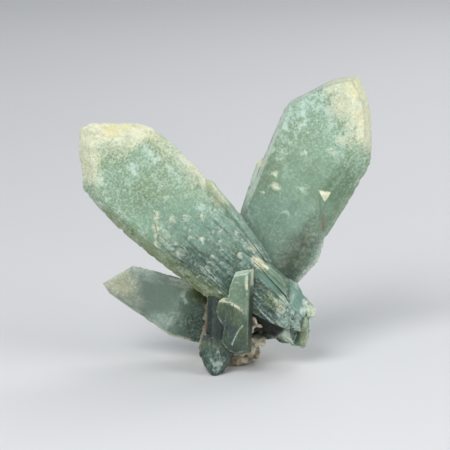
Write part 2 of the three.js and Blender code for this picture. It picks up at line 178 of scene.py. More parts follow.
BACK_STUB = {
    "root": (-3, 6, 9), "lean": (-0.5, 0.62, 0.6), "faces": (0.3, 0.5, 0.8), "front": 3.4, "back": 3.4,
    "outline": [
        (3.6, -6, 1.5, 1.5), (4.2, 7, 1.5, 1.5), (1, 12.5, 1.6, 1.6), (-2.8, 10.4, 1.6, 1.6),
        (-4.4, 4, 1.5, 1.5), (-3.8, -6, 1.5, 1.5),
    ],
}
SIDE_STUB = {
    "root": (8, 4, 12), "lean": (0.62, 0.5, 0.36), "faces": (0.2, 0.55, -0.8), "front": 3.6, "back": 3,
    "outline": [
        (3.4, -7, 1.5, 1.5), (4, 4, 1.5, 1.5), (2.2, 8.2, 1.4, 1.4), (-3, 7.4, 1.4, 1.4),
        (-4, 1, 1.5, 1.5), (-3.6, -7, 1.5, 1.5),
    ],
}

# The shallow curved fracture across the front crystal's foot, in that crystal's frame.
FRACTURE_CENTRE = Vector((-8, 2.5, 43.1))
FRACTURE_RADIUS = 41.3

# Broken quartz, as (x, y, z, width, depth, height).
SHARDS = [
    (23.7, -7.2, 16.9, 3.4, 4.4, 3.8), (21.8, -6.4, 19, 3, 5, 3.4), (21.3, -5.4, 9.2, 3.4, 6, 6),
    (21, -8.6, 14, 4, 5, 5), (19.4, -4.6, 7.4, 4, 6, 3.4), (16, -4.4, 8, 5, 6, 3), (12, -4, 9.4, 5, 6, 3.2),
    (-5.7, -15.4, 3.4, 3.6, 5, 4.6), (-3.8, -15.8, 1.6, 4, 4.4, 3.6), (-7.8, -14.4, 6.6, 3, 4.6, 4.2),
    (-3, -14.6, 4.6, 4, 4, 4), (5.4, -15.6, 7.4, 3, 3.6, 3),
]

# Host rock in and beside the recess under the left blade's root, laid out like SHARDS.
RECESS_ROCK = [
    (8.1, 2.5, 8.8, 7, 6, 5.4), (6.7, -12, 15.7, 2.6, 4.4, 3), (7.9, -11.6, 13.9, 3.8, 4.4, 1.4),
    (6.2, -12, 12.7, 1.4, 4, 2.4),
]

# Growth plates, as (across, along at the head, width, length, height, pale cap).
LEFT_PLATES = [
    (3.2, 38.4, 2.8, 9, 0.8, 0.6), (-2.2, 40.6, 2.2, 9, 0.5, 0.9), (-4.2, 43.6, 2.2, 10, 0.4, 0.35),
    (1.1, 36.6, 1.8, 9, 0.4, 0.4), (6.5, 34.6, 1.8, 6, 0.35, 0.8), (2.3, 29.4, 2.4, 8, 0.8, 0.8),
    (6.0, 31.4, 1.6, 6, 0.4, 0.5), (6.2, 27.8, 2.0, 6, 0.5, 0.6), (2.8, 45.0, 2.4, 7, 0.35, 0.45),
    (6.8, 43.0, 1.8, 6, 0.3, 0.6), (-0.6, 48.8, 2.6, 8, 0.35, 0.4), (-3.6, 51.4, 2.8, 8, 0.45, 0.4),
    (11.2, 50.4, 3.0, 5, 0.45, 0.9), (-0.4, 34.2, 2.0, 9, 0.4, 0.25), (4.6, 33.0, 1.7, 7, 0.3, 0.25),
    (-3.2, 31.8, 2.0, 9, 0.4, 0.2), (0.8, 27.0, 1.8, 8, 0.4, 0.2), (4.4, 24.6, 1.8, 8, 0.45, 0.4),
    (8.9, 38.2, 1.6, 8, 0.3, 0.3), (9.2, 45.2, 2.0, 7, 0.3, 0.3), (-0.4, 57.0, 3.4, 7, 0.3, 0.3),
    (4.2, 52.6, 2.8, 6, 0.3, 0.3), (-10.4, 43.4, 2.4, 9, 0.3, 0.2), (-11.4, 34.4, 2.4, 9, 0.3, 0.2),
]
# Long open grooves between the plates.
LEFT_GROOVES = [
    [(-4.6, 53.4), (-5.3, 45.4), (-5.4, 38), (-4.5, 32.3), (-4.2, 22)],
    [(-1.4, 38.5), (-1.6, 32), (-1.8, 22)],
    [(-11, 46.4), (-8.6, 43.4), (-6.3, 40.6), (-6.4, 33), (-6.9, 22)],
    [(3.9, 16.6), (3.7, 9)], [(4.6, 41), (4.4, 34)], [(7.2, 33), (6.4, 25)],
]
RIGHT_PLATES = [
    (-3.0, 44.4, 3.4, 4, 0.3, 0.9), (4.7, 47.8, 3.2, 4, 0.3, 0.7), (-6.1, 31.6, 5.2, 6, 0.45, 0.8),
    (-8.4, 34.6, 3.4, 4.4, 0.35, 0.7), (-9.0, 28.4, 4.0, 5, 0.35, 0.7), (1.0, 34.2, 3.2, 4, 0.3, 0.6),
    (4.8, 53.2, 3.0, 4, 0.3, 0.8), (-5.4, 50.6, 3.4, 5, 0.25, 0.4), (1.6, 56.0, 3.4, 5, 0.25, 0.5),
    (-9.0, 42.0, 3.2, 5, 0.25, 0.3), (0.4, 26.0, 4.4, 8, 0.35, 0.3), (-2.6, 62.6, 3.0, 4, 0.25, 0.4),
]

# Soft ovals of crust, stain and frost, as (across, along, half width, half length, strength).
LEFT_TIP_CRUST = [
    (1, 84, 8.5, 7, 0.9), (-6, 84, 7, 7, 0.5), (12, 66, 3.4, 9, 0.35), (-6, 80, 5.5, 4.5, 0.75),
    (2, 76.5, 8, 5, 0.7), (-10.4, 77, 4, 6, 0.7),
]
LEFT_SMALL_CRUST = [
    (11.0, 49.2, 2.6, 2.4, 0.85), (9.0, 53.0, 2.4, 3.0, 0.45), (-4.0, 50.6, 1.6, 1.4, 0.4),
    (2.8, 44.4, 2.0, 1.2, 0.45), (-2.2, 39.8, 0.9, 1.1, 0.7), (2.3, 28.4, 1.0, 1.4, 0.7),
    (6.2, 27.2, 1.5, 1.6, 0.5), (-0.6, 48.2, 1.6, 1.2, 0.35),
]
LEFT_YELLOW = [
    (4.2, 82, 4.6, 2.6, 1.0), (7.4, 78.6, 3.0, 2.2, 0.8), (10, 70, 3.0, 7, 0.3), (0.4, 12, 2, 9, 0.4),
    (4.6, 22, 1.5, 3, 0.5),
]
LEFT_FROST = [
    (6.8, 68.0, 2.6, 5.0, 0.9), (7.4, 59.0, 2.4, 4.6, 0.75), (3.6, 61, 6, 8, 0.42),
    (-0.6, 69.8, 2.0, 3.4, 0.8), (-9.6, 74.2, 2.6, 3.4, 0.75), (-13.4, 69.4, 1.8, 3.0, 0.7),
    (-11.6, 55.4, 1.8, 2.8, 0.6), (-7.0, 50.0, 2.6, 4.0, 0.5), (-4.0, 66, 3.0, 4.0, 0.4),
    (5.6, 45.0, 3.6, 5.0, 0.6), (-12.6, 62, 2, 4, 0.35), (3.4, 40, 4, 5, 0.35), (-1.6, 46.0, 2.6, 4.0, 0.4),
    (-6, 36, 3, 6, 0.15), (6.2, 28, 2.2, 5, 0.55), (-9.8, 46, 3, 4, 0.5), (2.5, 25, 1.6, 2.6, 0.4),
    (10, 39, 2.4, 4, 0.4),
]
RIGHT_CRUST = [
    (7.4, 61.4, 5, 6, 0.6), (5.8, 57.4, 1.8, 2.6, 0.45), (10.2, 57.5, 3.4, 4, 0.6),
    (4.8, 53, 1.6, 2.0, 0.55), (-6.3, 31.0, 2.0, 1.3, 0.65), (-8.2, 34.2, 1.3, 1.1, 0.5),
    (-14.4, 36.2, 1.6, 2.8, 0.9), (7.5, 53.6, 2.4, 4.6, 0.35), (1.0, 68, 4.6, 5, 0.55),
    (0.8, 62.6, 5.4, 6.5, 0.62), (-4.6, 66, 5, 4.4, 0.5), (-3.0, 43.8, 1.6, 0.9, 0.4),
    (4.6, 47.4, 1.8, 0.9, 0.45),
]
RIGHT_FROST = [
    (-12.0, 50.4, 3.8, 5.5, 1.0), (-7.6, 60.6, 5.4, 5.4, 0.9), (-2.8, 44.0, 2.6, 1.6, 0.6),
    (4.6, 47.6, 2.8, 1.6, 0.6), (1.4, 34, 3.0, 2.0, 0.5), (-4, 63, 5, 5, 0.5), (14, 42.4, 1.4, 3.0, 0.5),
    (-1.0, 57, 5, 6, 0.55), (6, 54, 4, 6, 0.55), (15.2, 19, 0.9, 4.6, 0.8), (-5, 36, 4, 4, 0.3),
    (-9, 18, 2.4, 6, 0.4), (-8.6, 52, 3.8, 6, 0.9), (-9, 42, 3.6, 7, 0.5), (7, 29.4, 3, 3.4, 0.3),
    (-12.6, 45, 3, 8, 0.7), (-13, 34, 2.4, 6, 0.5),
]


def random_source(seed):
    """A small repeatable source of random numbers."""
    state = seed

    def draw(low=0.0, high=1.0):
        nonlocal state
        state = (state * 1664525 + 1013904223) % 4294967296
        return low + (high - low) * (state / 4294967296)

    return draw


# ---------------------------------------------------------------- shaping


def link_new(name, data):
    """An object for this mesh, lamp or camera, in the scene."""
    thing = bpy.data.objects.new(name, data)
    bpy.context.scene.collection.objects.link(thing)
    return thing


def place_of(crystal):
    """The matrix, in millimetres, that carries a crystal's own frame into the cluster."""
    along = Vector(crystal["lean"]).normalized()
    across = along.cross(Vector(crystal["faces"])).normalized()
    out = across.cross(along)
    place = Matrix((across, along, out)).transposed().to_4x4()
    place.translation = Vector(crystal["root"])
    return place


def facets_of(crystal):
    """The planes that cut a crystal from its block, as (point, outward normal) in its own frame."""
    front, back, outline = crystal["front"], crystal["back"], crystal["outline"]
    facets = [(Vector((0, 0, front)), Vector((0, 0, 1))), (Vector((0, 0, -back)), Vector((0, 0, -1)))]
    for index, (across, along, front_bevel, back_bevel) in enumerate(outline):
        next_across, next_along = outline[(index + 1) % len(outline)][:2]
        edge_out = Vector((next_along - along, across - next_across, 0)).normalized()
        corner = Vector((across, along, 0))
        facets.append((corner, (edge_out * front + Vector((0, 0, front_bevel))).normalized()))
        facets.append((corner, (edge_out * back - Vector((0, 0, back_bevel))).normalized()))
    for point, outward in crystal.get("cuts", []):
        facets.append((Vector(point), Vector(outward).normalized()))
    into = place_of(crystal).inverted()
    facets.append((into @ Vector((0, 0, 0)), (into.to_3x3() @ Vector((0, 0, -1))).normalized()))
    return facets


def slice_off(bm, point, outward):
    """Takes away everything beyond a plane and closes the cut."""
    geometry = bm.verts[:] + bm.edges[:] + bm.faces[:]
    bmesh.ops.bisect_plane(
        bm, geom=geometry, dist=1e-5, plane_co=point, plane_no=outward, clear_outer=True)
    rim = [edge for edge in bm.edges if edge.is_boundary]
    if rim:
        bmesh.ops.holes_fill(bm, edges=rim, sides=0)


def cut_crystal(crystal):
    """A block with every facet of the crystal cut into it."""
    bm = bmesh.new()
    thickness = crystal["front"] + crystal["back"]
    block = Matrix.Translation((0, 40, (crystal["front"] - crystal["back"]) / 2))
    bmesh.ops.create_cube(bm, size=1, matrix=block @ Matrix.Diagonal((200, 300, thickness, 1)))
    for point, outward in facets_of(crystal)[2:]:
        slice_off(bm, point, outward)
    return bm


def scoop_out(bm, centre, radius):
    """Takes a ball out of the shape, which leaves a curved break."""
    made = []
    for name, source in (("solid", bm), ("ball", bmesh.new())):
        if name == "ball":
            bmesh.ops.create_icosphere(
                source, subdivisions=5, radius=radius, matrix=Matrix.Translation(centre))
        mesh = bpy.data.meshes.new(name)
        source.to_mesh(mesh)
        source.free()
        made.append(link_new(name, mesh))
    solid, ball = made
    scoop = solid.modifiers.new("scoop", "BOOLEAN")
    scoop.operation, scoop.object, scoop.solver = "DIFFERENCE", ball, "EXACT"
    bpy.context.view_layer.update()
    shaped = solid.evaluated_get(bpy.context.evaluated_depsgraph_get()).to_mesh()
    result = bmesh.new()
    result.from_mesh(shaped)
    for thing in made:
        mesh = thing.data
        bpy.data.objects.remove(thing)
        bpy.data.meshes.remove(mesh)
    return result


def refine(bm, step):
    """Cuts the faces into a lattice of about this step, then halves it."""
    for axis in (1, 0, 2):
        low = min(vert.co[axis] for vert in bm.verts)
        high = max(vert.co[axis] for vert in bm.verts)
        count = max(1, round((high - low) / step))
        normal = Vector((axis == 0, axis == 1, axis == 2))
        rest = []
        for face in bm.faces:
            span = [vert.co[axis] for vert in face.verts]
            if max(span) - min(span) > 1e-4:
                rest.append(face)
        for index in range(1, count):
            level = low + (high - low) * index / count + OFF_CORNERS
            crossing, beyond = [], []
            for face in rest:
                span = [vert.co[axis] for vert in face.verts]
                if min(span) < level < max(span):
                    crossing.append(face)
                elif min(span) >= level:
                    beyond.append(face)
            if not crossing:
                rest = beyond
                continue
            edges = {edge for face in crossing for edge in face.edges}
            verts = {vert for face in crossing for vert in face.verts}
            cut = bmesh.ops.bisect_plane(
                bm, geom=[*verts, *edges, *crossing], dist=1e-6, plane_co=normal * level, plane_no=normal)
            for item in cut["geom"]:
                if isinstance(item, bmesh.types.BMFace) and item.calc_center_median()[axis] > level:
                    beyond.append(item)
            rest = beyond
    bmesh.ops.triangulate(bm, faces=bm.faces[:])
    bmesh.ops.subdivide_edges(bm, edges=bm.edges[:], cuts=1, use_grid_fill=True)
    bmesh.ops.triangulate(bm, faces=bm.faces[:])


def points_of(mesh):
    """The points of a mesh."""
    points = np.empty(len(mesh.vertices) * 3)
    mesh.vertices.foreach_get("co", points)
    return points.reshape(-1, 3)


def normals_of(mesh):
    """The point normals of a mesh."""
    normals = np.empty(len(mesh.vertices) * 3)
    mesh.vertex_normals.foreach_get("vector", normals)
    return normals.reshape(-1, 3)


# ---------------------------------------------------------------- fields over a surface


def lattice(cells, seed):
    """A repeatable value in -1..1 for every whole-numbered cell."""
    mask = 0xFFFFFFFF
    mixed = seed * 374761393
    for axis, prime in enumerate((73856093, 19349663, 83492791)):
        mixed = mixed ^ (cells[:, axis] * prime)
    mixed = mixed & mask
    mixed = ((mixed ^ (mixed >> 13)) * 1274126177) & mask
    mixed = ((mixed ^ (mixed >> 15)) * 668265263) & mask
    return ((mixed >> 8) & 0xFFFF) / 32767.5 - 1


def noise(points, size, seed, octaves=1):
    """Smooth noise in about -1..1. Size is how many millimetres one swell takes, or three such numbers."""
    total = np.zeros(len(points))
    strength, whole = 1.0, 0.0
    for octave in range(octaves):
        scaled = points / (np.asarray(size) / 2**octave) + seed * 7.13
        base = np.floor(scaled).astype(np.int64)
        part = scaled - base
        part = part * part * (3 - 2 * part)
        value = np.zeros(len(points))
        for corner in range(8):
            step = np.array([corner & 1, corner >> 1 & 1, corner >> 2 & 1])
            weight = np.prod(np.where(step == 1, part, 1 - part), axis=1)
            value += weight * lattice(base + step, seed + octave)
        total += strength * value
        whole += strength
        strength *= 0.55
    return total / whole * 1.4


def ease(low, high, value):
    """0 below low, 1 above high, and smooth between them."""
    part = np.clip((value - low) / (high - low), 0, 1)
    return part * part * (3 - 2 * part)


def near_line(across, along, corners, reach):
    """1 on a line through the corners, falling to 0 at this reach."""
    nearest = np.full(len(across), 1e9)
    for (a0, b0), (a1, b1) in zip(corners, corners[1:]):
        run = math.hypot(a1 - a0, b1 - b0)
        part = np.clip(((across - a0) * (a1 - a0) + (along - b0) * (b1 - b0)) / run**2, 0, 1)
        gap = np.hypot(across - a0 - part * (a1 - a0), along - b0 - part * (b1 - b0))
        nearest = np.minimum(nearest, gap)
    return 1 - ease(0, 1, nearest / reach)


def spots(across, along, places):
    """The strongest of some soft ovals, as (across, along, half width, half length, strength)."""
    total = np.zeros(len(across))
    for a0, b0, half_width, half_length, strength in places:
        far = np.hypot((across - a0) / half_width, (along - b0) / half_length)
        total = np.maximum(total, strength * (1 - ease(0.35, 1.15, far)))
    return total


def facet_weight(depth):
    """How much a facet counts at points this far outside it: little where they are 0.5 mm inside."""
    return np.exp(np.clip(depth, -4, 0.05) / EDGE_SOFTNESS)


class Skin:
    """The surface points of a crystal in its own frame.

    Front, back and side say which way each point's facet looks, and scar that it lies on the curved break.
    Edge is how far the nearest facet edge is, ridge how far the front face's rim is, and brim nears 1 beside
    the break. Marks hold how strongly each finish shows.
    """

    def __init__(self, points, crystal, scooped=False):
        self.points = points
        self.across, self.along, self.out = points.T
        facets = facets_of(crystal)
        normals = np.array([tuple(normal) for _, normal in facets])
        levels = np.array([point.dot(normal) for point, normal in facets])
        depth = points @ normals.T - levels
        blend = facet_weight(depth) @ normals
        self.scar = np.zeros(len(points))
        self.brim = np.zeros(len(points))
        if scooped:
            to_centre = np.array(FRACTURE_CENTRE) - points
            gap = np.linalg.norm(to_centre, axis=1)
            curved = FRACTURE_RADIUS - gap
            depth = np.column_stack([depth, curved])
            blend += facet_weight(curved)[:, None] * to_centre / gap[:, None]
            self.scar = ease(-0.07, -0.03, curved)
            self.brim = ease(-0.35, -0.15, curved)
        self.normal = blend / np.linalg.norm(blend, axis=1)[:, None]
        self.edge = -np.sort(depth, axis=1)[:, -2]
        self.ridge = -depth[:, 0] - np.max(depth[:, 2:2 + 2 * len(crystal["outline"]):2], axis=1)
        self.front = ease(0.55, 0.9, self.normal[:, 2]) * (1 - self.scar)
        self.back = ease(0.55, 0.9, -self.normal[:, 2]) * (1 - self.scar)
        self.side = np.clip(1 - self.front - self.back - self.scar, 0, 1)
        self.marks = {}

    def mark(self, name, value):
        """Adds a finish, which shows where it is stronger than what was marked before."""
        self.marks[name] = np.maximum(self.marks.get(name, 0), value)

    def noise(self, size, seed, octaves=1):
        """The noise at the crystal's points."""
        return noise(self.points, size, seed, octaves)


def plates(skin, places, warp_seed):
    """How far growth plates stand out over each point, and where their rims, caps and side grooves are."""
    across = skin.across + 0.35 * skin.noise(1.8, warp_seed, 2)
    along = skin.along + 0.8 * skin.noise(1.6, warp_seed + 1, 2)
    rise, rim, cap, groove = np.zeros((4, len(across)))
    for centre, head, width, length, height, pale in places:
        near = np.flatnonzero(
            (np.abs(across - centre) < width * 0.6 + 0.5) & (along < head + 0.6) & (along > head - length))
        if near.size == 0:
            continue
        side = (across[near] - centre) / (width / 2)
        crown = min(width * 1.1, length / 2)
        up = (along[near] - (head - crown)) / crown
        tail = np.clip((along[near] - (head - length)) / (length - crown), 0, 1)
        inside = np.where(up > 0, 1 - np.hypot(side, up), tail**0.5 - np.abs(side)) * width / 2
        climb = np.clip((along[near] - (head - length)) / length, 0, 1)
        lift = height * climb**1.4 * ease(0, 0.3, inside)
        taller = lift > rise[near]
        rise[near] = np.maximum(rise[near], lift)
        headward = 0.45 * ease(0.2, 0.7, climb) + ease(0.75, 0.95, climb)
        edge = np.exp(-((inside - 0.16) / 0.2) ** 2) * headward
        rim[near] = np.where(taller, np.maximum(edge * (0.3 + 0.7 * pale), rim[near] * 0.5), rim[near])
        crest = ease(0.84, 0.97, climb + 0.04 * np.sin(7 * side)) * ease(0, 0.3, inside) * pale**1.5
        cap[near] = np.where(taller, np.maximum(crest, cap[near] * 0.6), cap[near])
        beside = np.exp(-((inside + 0.08) / 0.16) ** 2) * ease(0.2, 0.6, climb) * (side < 0.3)
        groove[near] = np.maximum(groove[near] * np.where(taller, 0.4, 1), beside * min(1, height / 0.4))
    return rise, rim, cap, groove


def scattered_plates(seed, count, across, along, width, length, height, pale):
    """Seeded growth plates; every argument but the first two is a (low, high) pair."""
    draw = random_source(seed)
    return [
        (draw(*across), draw(*along), draw(*width), draw(*length), draw(*height),
         pale[1] * draw() ** 4 + pale[0])
        for _ in range(count)
    ]


def terraces(skin, size, seed, steps=5):
    """A slow swell cut into small steps, and the lips of those steps."""
    swell = skin.noise(size, seed, 3) * steps / 2
    level = np.floor(swell)
    part = swell - level
    return (level + ease(0.86, 1.0, part)) / steps, np.exp(-((part - 0.93) / 0.07) ** 2)


def ribs(skin, spacing, seed):
    """Long growth lines that run up the crystal."""
    coarse = noise(skin.points, (spacing, 26, 5), seed, 2)
    fine = noise(skin.points, (spacing * 0.45, 16, 5), seed + 3, 1)
    return 0.6 * coarse + 0.4 * fine


# ---------------------------------------------------------------- looks of the crystals


def common_relief(skin, grain, chip, seed, edge_wear_and_highlight, rounding):
    """What every crystal has: a lightly uneven skin, chipped edges paled partly by wear and partly by painted
    highlight, and a rounded front ridge.
    """
    uneven = 0.05 * skin.noise(3.5, seed, 2) + grain * skin.noise(0.9, seed + 5, 2)
    near_edge = ease(0.8, 0, skin.edge)
    chips = np.maximum(skin.noise(1.6, seed + 9, 2) - 0.1, 0)
    # The rim mark here is partly edge wear and partly a painted highlight along the edges.
    skin.mark("rim", edge_wear_and_highlight * near_edge * ease(0.25, 0.8, skin.noise(2.4, seed + 12, 2) * 0.5 + 0.6))
    return uneven - chip * near_edge * chips - rounding * np.exp(-((skin.ridge / (2.4 * rounding + 0.2)) ** 2))


def left_blade_look(skin, sizes):
    """Plates with pale heads, long ribs towards the root, a cream crust round the tip, frost, and painted
    light and shade.
    """
    u, v = skin.across, skin.along
    places = LEFT_PLATES + scattered_plates(
        3, 60, (-13, 12), (14, 50), (0.8, 2.0), (6, 16), (0.1, 0.3), (0.0, 0.35))
    places += scattered_plates(8, 60, (-14, 12), (46, 86), (0.8, 2.0), (1.2, 3.0), (0.03, 0.1), (0.0, 0.3))
    behind = scattered_plates(17, 130, (-15, 13), (8, 84), (1.4, 4.0), (5, 16), (0.12, 0.55), (0.0, 0.8))
    rise, rim, cap, groove = plates(skin, places, 21)
    rise_back, rim_back, cap_back, groove_back = plates(skin, behind, 31)
    step, lip = terraces(skin, (5, 16, 9), 44)
    rib = ribs(skin, 0.9, 51)
    faced = skin.front + skin.back
    towards_root = ease(52, 30, v + np.clip(u, 0, 12) * (1 - skin.back) + 2 * skin.noise(6, 50, 2))
    broken = ease(20, 11, v + 1.5 * skin.noise(3, 52, 2)) * ease(2.6, 0.8, u) * (1 - skin.back)
    lift = sizes.plate_height / (0.6 * MM) * (rise * skin.front + rise_back * skin.back)
    lift += 0.1 * step * faced
    lift += sizes.rib_depth / MM * rib * (0.12 + 0.88 * towards_root) * (faced + 0.5 * skin.side)
    facet = ease(0.5, 1.9, u) * ease(24, 18, v) * skin.front
    lift += broken * (0.3 * skin.noise((1.2, 5, 2), 53, 3) + 0.2 * ribs(skin, 0.8, 54))
    gu = u + 0.5 * skin.noise((4, 9, 4), 56, 2)
    cracks = np.max([near_line(gu, v, line, 0.6) for line in LEFT_GROOVES], axis=0) * skin.front
    cracks *= ease(-0.8, 0.2, skin.noise(4, 57, 2)) * ease(54, 44, v)
    lift -= 0.3 * cracks
    tip_grain = ease(58, 78, v)
    shift = common_relief(skin, 0.03 + 0.05 * tip_grain + 0.06 * broken, 0.5, 61, 0.35, 0.5)
    wa, wv = u + 0.9 * skin.noise(3, 72, 2), v + 1.2 * skin.noise(3, 73, 2)
    crest = near_line(wa, wv, [(-3, 89), (2, 88), (11, 77)], 8)
    wide = near_line(wa, wv, [(-12, 82), (-3, 89), (2, 88), (11, 77)], 13)
    wide = np.maximum(wide, 0.75 * near_line(wa, wv, [(11, 77), (13, 66), (12, 52)], 13))
    corner = spots(wa, wv, LEFT_TIP_CRUST)
    crust = np.clip(crest + 0.5 * corner + 0.48 * wide, 0, 1.1) * (skin.front + skin.side)
    behind_tip = near_line(wa, wv, [(-14, 76), (-7, 85), (-2, 89), (11, 77), (13, 60)], 10)
    crust = np.maximum(crust, skin.back * behind_tip)
    small = spots(wa, wv, LEFT_SMALL_CRUST)
    small = np.maximum(small, 0.6 * near_line(wa, wv, [(-5.4, 55), (-7.6, 53), (-9.6, 51), (-12.6, 48)], 1.3))
    small = np.maximum(small, 0.95 * near_line(u, v, [(4.6, 24.8), (4.9, 20)], 1.1))
    small = np.maximum(small, 0.4 * near_line(wa, wv, [(-14.6, 76), (-16.4, 62), (-16, 46)], 2.2))
    small = np.maximum(small, 0.4 * near_line(u, v, [(-12, 33), (-13, 29), (-12, 24)], 1.4))
    skin.mark("crust", np.maximum(crust, small * skin.front))
    skin.mark("crust", 0.85 * near_line(wa, wv, [(12.4, 60), (11.6, 49), (11, 43)], 3.4) * (1 - skin.back))
    striped = ease(-0.5, 0.3, np.sin(8.5 * u)) * 0.6 + 0.4
    skin.mark("crust", striped * spots(u, v, [(4.2, 22.8, 2.0, 3.4, 1.0)]) * (1 - skin.back))
    streaks = spots(wa, wv, [(-0.4, 16, 1.4, 4.5, 0.9), (1.4, 8.5, 1.3, 4.5, 0.9)])
    skin.mark("crust", broken * skin.front * 0.3 * streaks)
    skin.mark("yellow", spots(wa, wv, LEFT_YELLOW))
    skin.mark("frost_and_painted_light", skin.front * spots(wa, wv, LEFT_FROST))
    ragged = 0.75 + 0.35 * skin.noise((1.2, 4, 2), 75, 2)
    skin.mark("frost_and_painted_light", broken * ragged * skin.front * 0.85 * ease(12.5, 5.5, v))
    skin.mark("frost_and_painted_light", spots(u, v, [(1.6, 9.5, 1.8, 3.4, 0.75)]) * skin.front)
    skin.mark("green", 0.3 * spots(wa, wv, [(-5.6, 59, 5, 7, 1.0)]) * skin.front)
    # Painted light: facets that face right, in the shade between the blade and its upper edge crystal, are
    # painted paler.
    skin.mark("frost_and_painted_light", 0.5 * ease(0.3, 0.7, skin.normal[:, 0]) * ease(14, 22, v) * ease(62, 50, v))
    skin.mark("grainy", 0.12 + 0.45 * ease(48, 70, v) + 0.12 * broken - 0.1 * facet)
    skin.mark("pale", np.maximum(cap * skin.front, cap_back * skin.back) * ease(90, 70, v))
    skin.mark("rim", np.maximum(rim * skin.front, rim_back * skin.back) * 0.7)
    skin.mark("rim", lip * faced * 0.2 * ease(0.1, 0.6, skin.noise(5, 71, 3)))
    skin.mark("shade", np.maximum(groove * skin.front, groove_back * skin.back) * 0.36 * ease(58, 46, v))
    skin.mark("shade", 0.45 * cracks)
    skin.mark("shade", 0.6 * broken * ease(0.0, 0.6, skin.noise((0.9, 6, 2), 55, 2)) * ease(3.5, 0.5, u))
    # Downward faces: painted shade along the underside, and painted light with frost and pale marks at the
    # root end, which lies in shadow.
    under = ease(-0.1, -0.45, skin.normal[:, 0]) * (1 - skin.back)
    painted_light_under = under * ease(4.5, 2.5, v)
    skin.mark("shade", ease(26, 16, v) * ease(2, 4.5, v) * under)
    skin.mark("frost_and_painted_light", 1.3 * painted_light_under)
    skin.mark("pale", 0.3 * painted_light_under)
    drawn = towards_root * (0.4 + 0.6 * ease(-0.3, 0.6, rib)) * (0.72 + 0.28 * ease(24, 16, v))
    skin.mark("lines", np.maximum(drawn, 0.12) * (1 - 0.6 * tip_grain) * (1 - 0.65 * facet))
    shore = v + np.clip(u, -9, 9) + 3 * skin.noise(6, 74, 2)
    deep = np.interp(shore, (10, 20, 29, 37, 45, 58), (1, 0.97, 0.9, 0.42, 0.14, 0))
    skin.mark("deep", deep * (1 - 0.5 * facet) * (1 - 0.8 * painted_light_under))
    bluish = 0.5 * ease(30, 40, shore) * ease(56, 44, shore) * ease(-10, -4, u)
    skin.mark("sea", np.maximum(bluish, 0.8 * facet))
    skin.mark("sea", 0.9 * ease(0.1, 0.4, rise) * skin.front * towards_root)
    skin.mark("glassy", np.maximum(0.5 * facet, 0.6 * broken * skin.front))
    warm = broken * skin.front * spots(u, v, [(-1.0, 12.6, 3.2, 5.4, 1.0)])
    skin.mark("slate", 0.6 * broken * ease(2.5, -1, u) * ease(3, 9, v) * (1 - painted_light_under) * (1 - 0.7 * warm))
    skin.mark("olive", 0.5 * warm)
    skin.mark("crust", 0.4 * broken * skin.front * spots(wa, wv, [(-0.8, 9.6, 1.8, 3.6, 1.0)]))
    fringe = near_line(u, v, [(-17, 66), (-17, 50), (-15.6, 38), (-13.5, 26), (-11, 14)], 6.5)
    skin.mark("glassy", 0.6 * fringe)
    olive = np.maximum(1.15 * fringe * ease(74, 62, v), 0.3 * spots(wa, wv, [(-8, 66, 6, 9, 1)]))
    skin.mark("olive", olive * (1 - skin.back))
    return lift, shift


def ledge_look(skin, sizes):
    """The ledge beside the root: softer and greener than the blade."""
    lift, shift = left_blade_look(skin, sizes)
    skin.marks["sea"] = skin.marks["sea"] * 0.5
    skin.marks["deep"] = skin.marks["deep"] * 0.6
    skin.marks["shade"] = skin.marks["shade"] * 0.5
    skin.mark("green", 0.35 * ease(8, 14, skin.along))
    skin.mark("lines", np.full(len(skin.along), 0.35))
    return lift, shift


